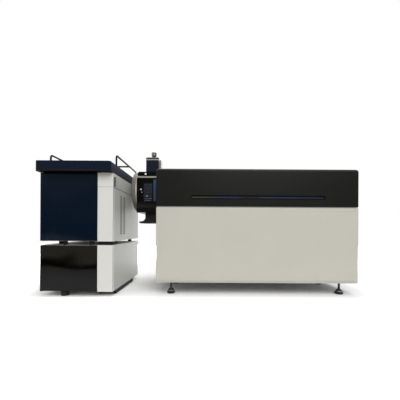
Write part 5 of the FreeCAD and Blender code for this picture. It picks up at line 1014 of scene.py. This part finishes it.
@dataclass
class MassAnalyser(SubAssembly):
    """Wide analyser cabinet: base, shell, hood and the vacuum system inside."""

    dress = {
        GREY_SHEET: "ms_base ms_shell ms_deck ms_supply", FOOT_BLACK: "ms_feet", PALE_PANEL: "ms_front_panel",
        HOOD_BLACK: "ms_hood", STATUS_STRIP: "ms_light_strip", ALUMINIUM: "vacuum_chamber chamber_lid turbo_pumps",
        CERAMIC: "quadrupoles", STEEL: "ion_detector vacuum_port",
        BLACK_PLASTIC: "fan_frame fan_rotor power_inlets ms_switch"}
    foot_xs: Span = (-0.17, 0.778)
    foot_ys: Point = (-0.225, 0.032, 0.289)
    fan_centre: Span = (0.616, 0.222)
    fan_screw: float = 0.05

    def add_pieces(self) -> None:
        """Adds the feet's wear rings, the fan's guard, the side and hood screws and the rear fittings."""
        places = product(self.foot_xs, self.foot_ys, [0.0165])
        fit("foot_rings", ring_model(0.0182, 0.0012), places, Facing.UP, ALUMINIUM)
        low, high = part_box("ms_shell")
        hood_low, hood_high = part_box("ms_hood")
        back = high.y
        fan_x, fan_z = self.fan_centre
        fan = (fan_x, back, fan_z)
        for radius in (0.018, 0.031, 0.044, 0.057):
            fit(f"fan_guard_{round(radius * 1000)}", ring_model(radius, 0.0011), [fan], Facing.BACK, STEEL)
        plate_at("fan_guard_hub", fan, (0.03, 0.03, 0.001), Facing.BACK, BLACK_PLASTIC)
        reach = self.fan_screw
        spots = product((fan_x - reach, fan_x + reach), [back], (fan_z - reach, fan_z + reach))
        screws("fan_screws", spots, Facing.BACK, 0.0035, 0.002)
        ys, zs = (low.y + 0.03, 0.03, high.y - 0.03), (low.z + 0.02, high.z - 0.02)
        for label, x, facing in (("right", high.x - 0.0003, Facing.RIGHT), ("left", low.x + 0.0003, Facing.LEFT)):
            screws(f"{label}_panel_screws", product([x], ys, zs), facing, 0.004)
        xs, zs = (hood_low.x + 0.04, 0.05, 0.55, hood_high.x - 0.04), (hood_low.z + 0.015, hood_high.z - 0.025)
        screws("hood_screws", product(xs, [hood_high.y], zs), Facing.BACK, 0.004, 0.0016)
        fittings = product((0.62, 0.66, 0.7), [hood_high.y], [0.56])
        nipple = turned_model(((0.008, 0.0), (0.008, 0.006), (0.0045, 0.007), (0.0045, 0.014)), 6)
        fit("hood_gas_fittings", nipple, fittings, Facing.BACK, GOLD)
        stud = turned_model(((0.006, 0.0), (0.006, 0.002), (0.003, 0.0022), (0.003, 0.009)), 6)
        fit("earth_stud", stud, [(low.x + 0.03, back, low.z + 0.06)], Facing.BACK, GOLD)
        RearPanel("analyser", "ms_shell", 3, 0.0035, 0.016).build()


# Studio
@dataclass
class Studio:
    """Pale floor, even backdrop, soft lamps and the camera at the photograph's angle."""

    eye: Point = (0.003, -1.638, 0.359)
    roll: float = -0.35
    lens: float = 22.5
    sensor: float = 36.0
    shift: Span = (-0.005, 0.0735)
    floor_place: Point = (0.0, 1.38, 0.0)
    floor_size: Point = (12.0, 5.36, 1.0)
    lamps: tuple[tuple[str, Point, Point, float, float], ...] = (
        ("key_lamp", (0.9, -3.0, 2.6), (0.0, 0.0, 0.3), 2.4, 66.0),
        ("left_lamp", (-3.0, -2.2, 2.2), (-0.4, 0.0, 0.3), 2.0, 26.0),
        ("top_lamp", (0.3, 0.4, 3.2), (0.2, 0.0, 0.3), 2.6, 40.0),
        ("rear_lamp", (0.3, 2.8, 1.7), (-0.47, 0.1, 0.4), 1.6, 18.0),
        ("side_lamp", (-0.05, 1.7, 0.3), (-0.47, 0.15, 0.15), 0.9, 3.0))
    room: tuple[tuple[float, Point], ...] = (
        (0.0, (0.004, 0.004, 0.003)), (0.184, (0.004, 0.004, 0.003)), (0.191, (0.53, 0.5, 0.4)),
        (0.2535, (0.5, 0.47, 0.38)), (0.256, (0.01, 0.01, 0.008)), (0.262, (0.01, 0.01, 0.008)),
        (0.27, (0.05, 0.06, 0.08)), (0.34, (0.08, 0.09, 0.1)), (0.46, grey(0.2)), (1.0, (0.3, 0.31, 0.33)))

    def build(self) -> None:
        """Builds all of the studio."""
        self.set_camera()
        self.set_world()
        self.lay_floor()
        self.hang_lamps()
        scene = bpy.context.scene
        scene.view_settings.view_transform = "Standard"

    def set_camera(self) -> None:
        """Places the camera in front of the instrument, turned a little about its own axis."""
        bpy.ops.object.camera_add(location=self.eye, rotation=(math.radians(90.0), math.radians(self.roll), 0.0))
        camera = bpy.context.active_object
        camera.data.lens = self.lens
        camera.data.sensor_width = self.sensor
        camera.data.shift_x, camera.data.shift_y = self.shift
        camera.data.clip_start = 0.02
        bpy.context.scene.camera = camera

    def set_world(self) -> None:
        """Sets an even world that is white to the camera and darker towards the room in front."""
        white = (1.0, 1.0, 1.0, 1.0)
        world = bpy.data.worlds.new("studio_world")
        world.use_nodes = True
        bpy.context.scene.world = world
        tree = world.node_tree
        tree.nodes.clear()
        lit = node(tree, "ShaderNodeBackground", Strength=0.55)
        seen = node(tree, "ShaderNodeBackground", Color=white, Strength=1.0)
        room = node(tree, "ShaderNodeBackground", Strength=1.0)
        path = node(tree, "ShaderNodeLightPath")
        split = node(tree, "ShaderNodeSeparateXYZ")
        link(node(tree, "ShaderNodeTexCoord"), "Generated", split, "Vector")
        depth = ranged(split, "Y", (-0.45, 0.3))
        ramp = colour_ramp(ranged(split, "Z", (-0.3, 0.7)), self.room)
        around = node(tree, "ShaderNodeMix", data_type="RGBA")
        around.inputs[7].default_value = white
        link(depth, "Result", around, "Factor")
        link(ramp, "Color", around, 6)
        link(around, 2, room, "Color")
        sharp = maths("MAXIMUM", (path, "Is Glossy Ray"), (path, "Is Transmission Ray"))
        whole = mix_shaders(path, "Is Camera Ray", mix_shaders(sharp, 0, lit, room), seen)
        link(whole, 0, node(tree, "ShaderNodeOutputWorld"), "Surface")

    def lay_floor(self) -> None:
        """Lays the pale floor, which fades to the white of the backdrop. Its colour holds painted light: to the
        camera it is whiter in front of the instrument than under it, and to all other rays it is darker towards the
        front and brighter than white behind the instrument.
        """
        bpy.ops.mesh.primitive_plane_add(size=1.0, location=self.floor_place)
        floor = bpy.context.active_object
        floor.scale = self.floor_size
        bake(floor)
        floor.name = "studio_floor"
        made = bpy.data.materials.new("studio_floor_paint")
        made.use_nodes = True
        tree = made.node_tree
        tree.nodes.clear()
        path = node(tree, "ShaderNodeLightPath")
        plain = node(tree, "ShaderNodeBsdfDiffuse")
        shown = node(tree, "ShaderNodeBsdfDiffuse")
        place = node(tree, "ShaderNodeTexCoord")
        split = node(tree, "ShaderNodeSeparateXYZ")
        link(place, "Object", split, "Vector")
        # To all but camera rays the floor is darker towards the front, and behind the instrument brighter than white:
        # a painted pool of light that the lower sides of the stack mirror.
        bench = ranged(split, "Y", (-1.3, -0.4), (0.4, 0.9))
        back = ranged(split, "Y", (0.35, 0.9), (0.0, 1.5))
        link(maths("ADD", (bench, "Result"), (back, "Result")), 0, plain, "Color")
        # Painted light: to the camera the floor in front of the instrument is whiter than the floor under it, which
        # gives the shade under the instrument a painted front edge.
        painted_front_light = ranged(split, "Y", (-0.37, -0.31), (0.8, 0.0))
        reach = node(tree, "ShaderNodeVectorMath", operation="LENGTH")
        link(place, "Object", reach, 0)
        far = ranged(reach, "Value", (0.95, 2.2), (1.15, 6.0))
        link(maths("ADD", (painted_front_light, "Result"), (far, "Result")), 0, shown, "Color")
        blend = mix_shaders(path, "Is Camera Ray", plain, shown)
        link(blend, 0, node(tree, "ShaderNodeOutputMaterial"), "Surface")
        floor.data.materials.append(made)

    def hang_lamps(self) -> None:
        """Hangs the square soft lamps, each by its name, place, aim, side and power in watts."""
        for name, place, aim, size, power in self.lamps:
            bpy.ops.object.light_add(type="AREA", location=place)
            lamp = bpy.context.active_object
            lamp.name = name
            lamp.data.shape = "SQUARE"
            lamp.data.size = size
            lamp.data.energy = power
            lamp.rotation_euler = (Vector(aim) - Vector(place)).to_track_quat("-Z", "Y").to_euler()


def main() -> None:
    """Builds the studio and each sub-assembly."""
    logging.basicConfig(level=logging.INFO, format="%(message)s")
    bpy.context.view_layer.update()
    drop_selection()
    Studio().build()
    for assembly in (PumpModule(), SamplerModule(), OvenModule(), SolventTray(), IonSource(), MassAnalyser()):
        assembly.build()


if __name__ == "__main__":
    main()
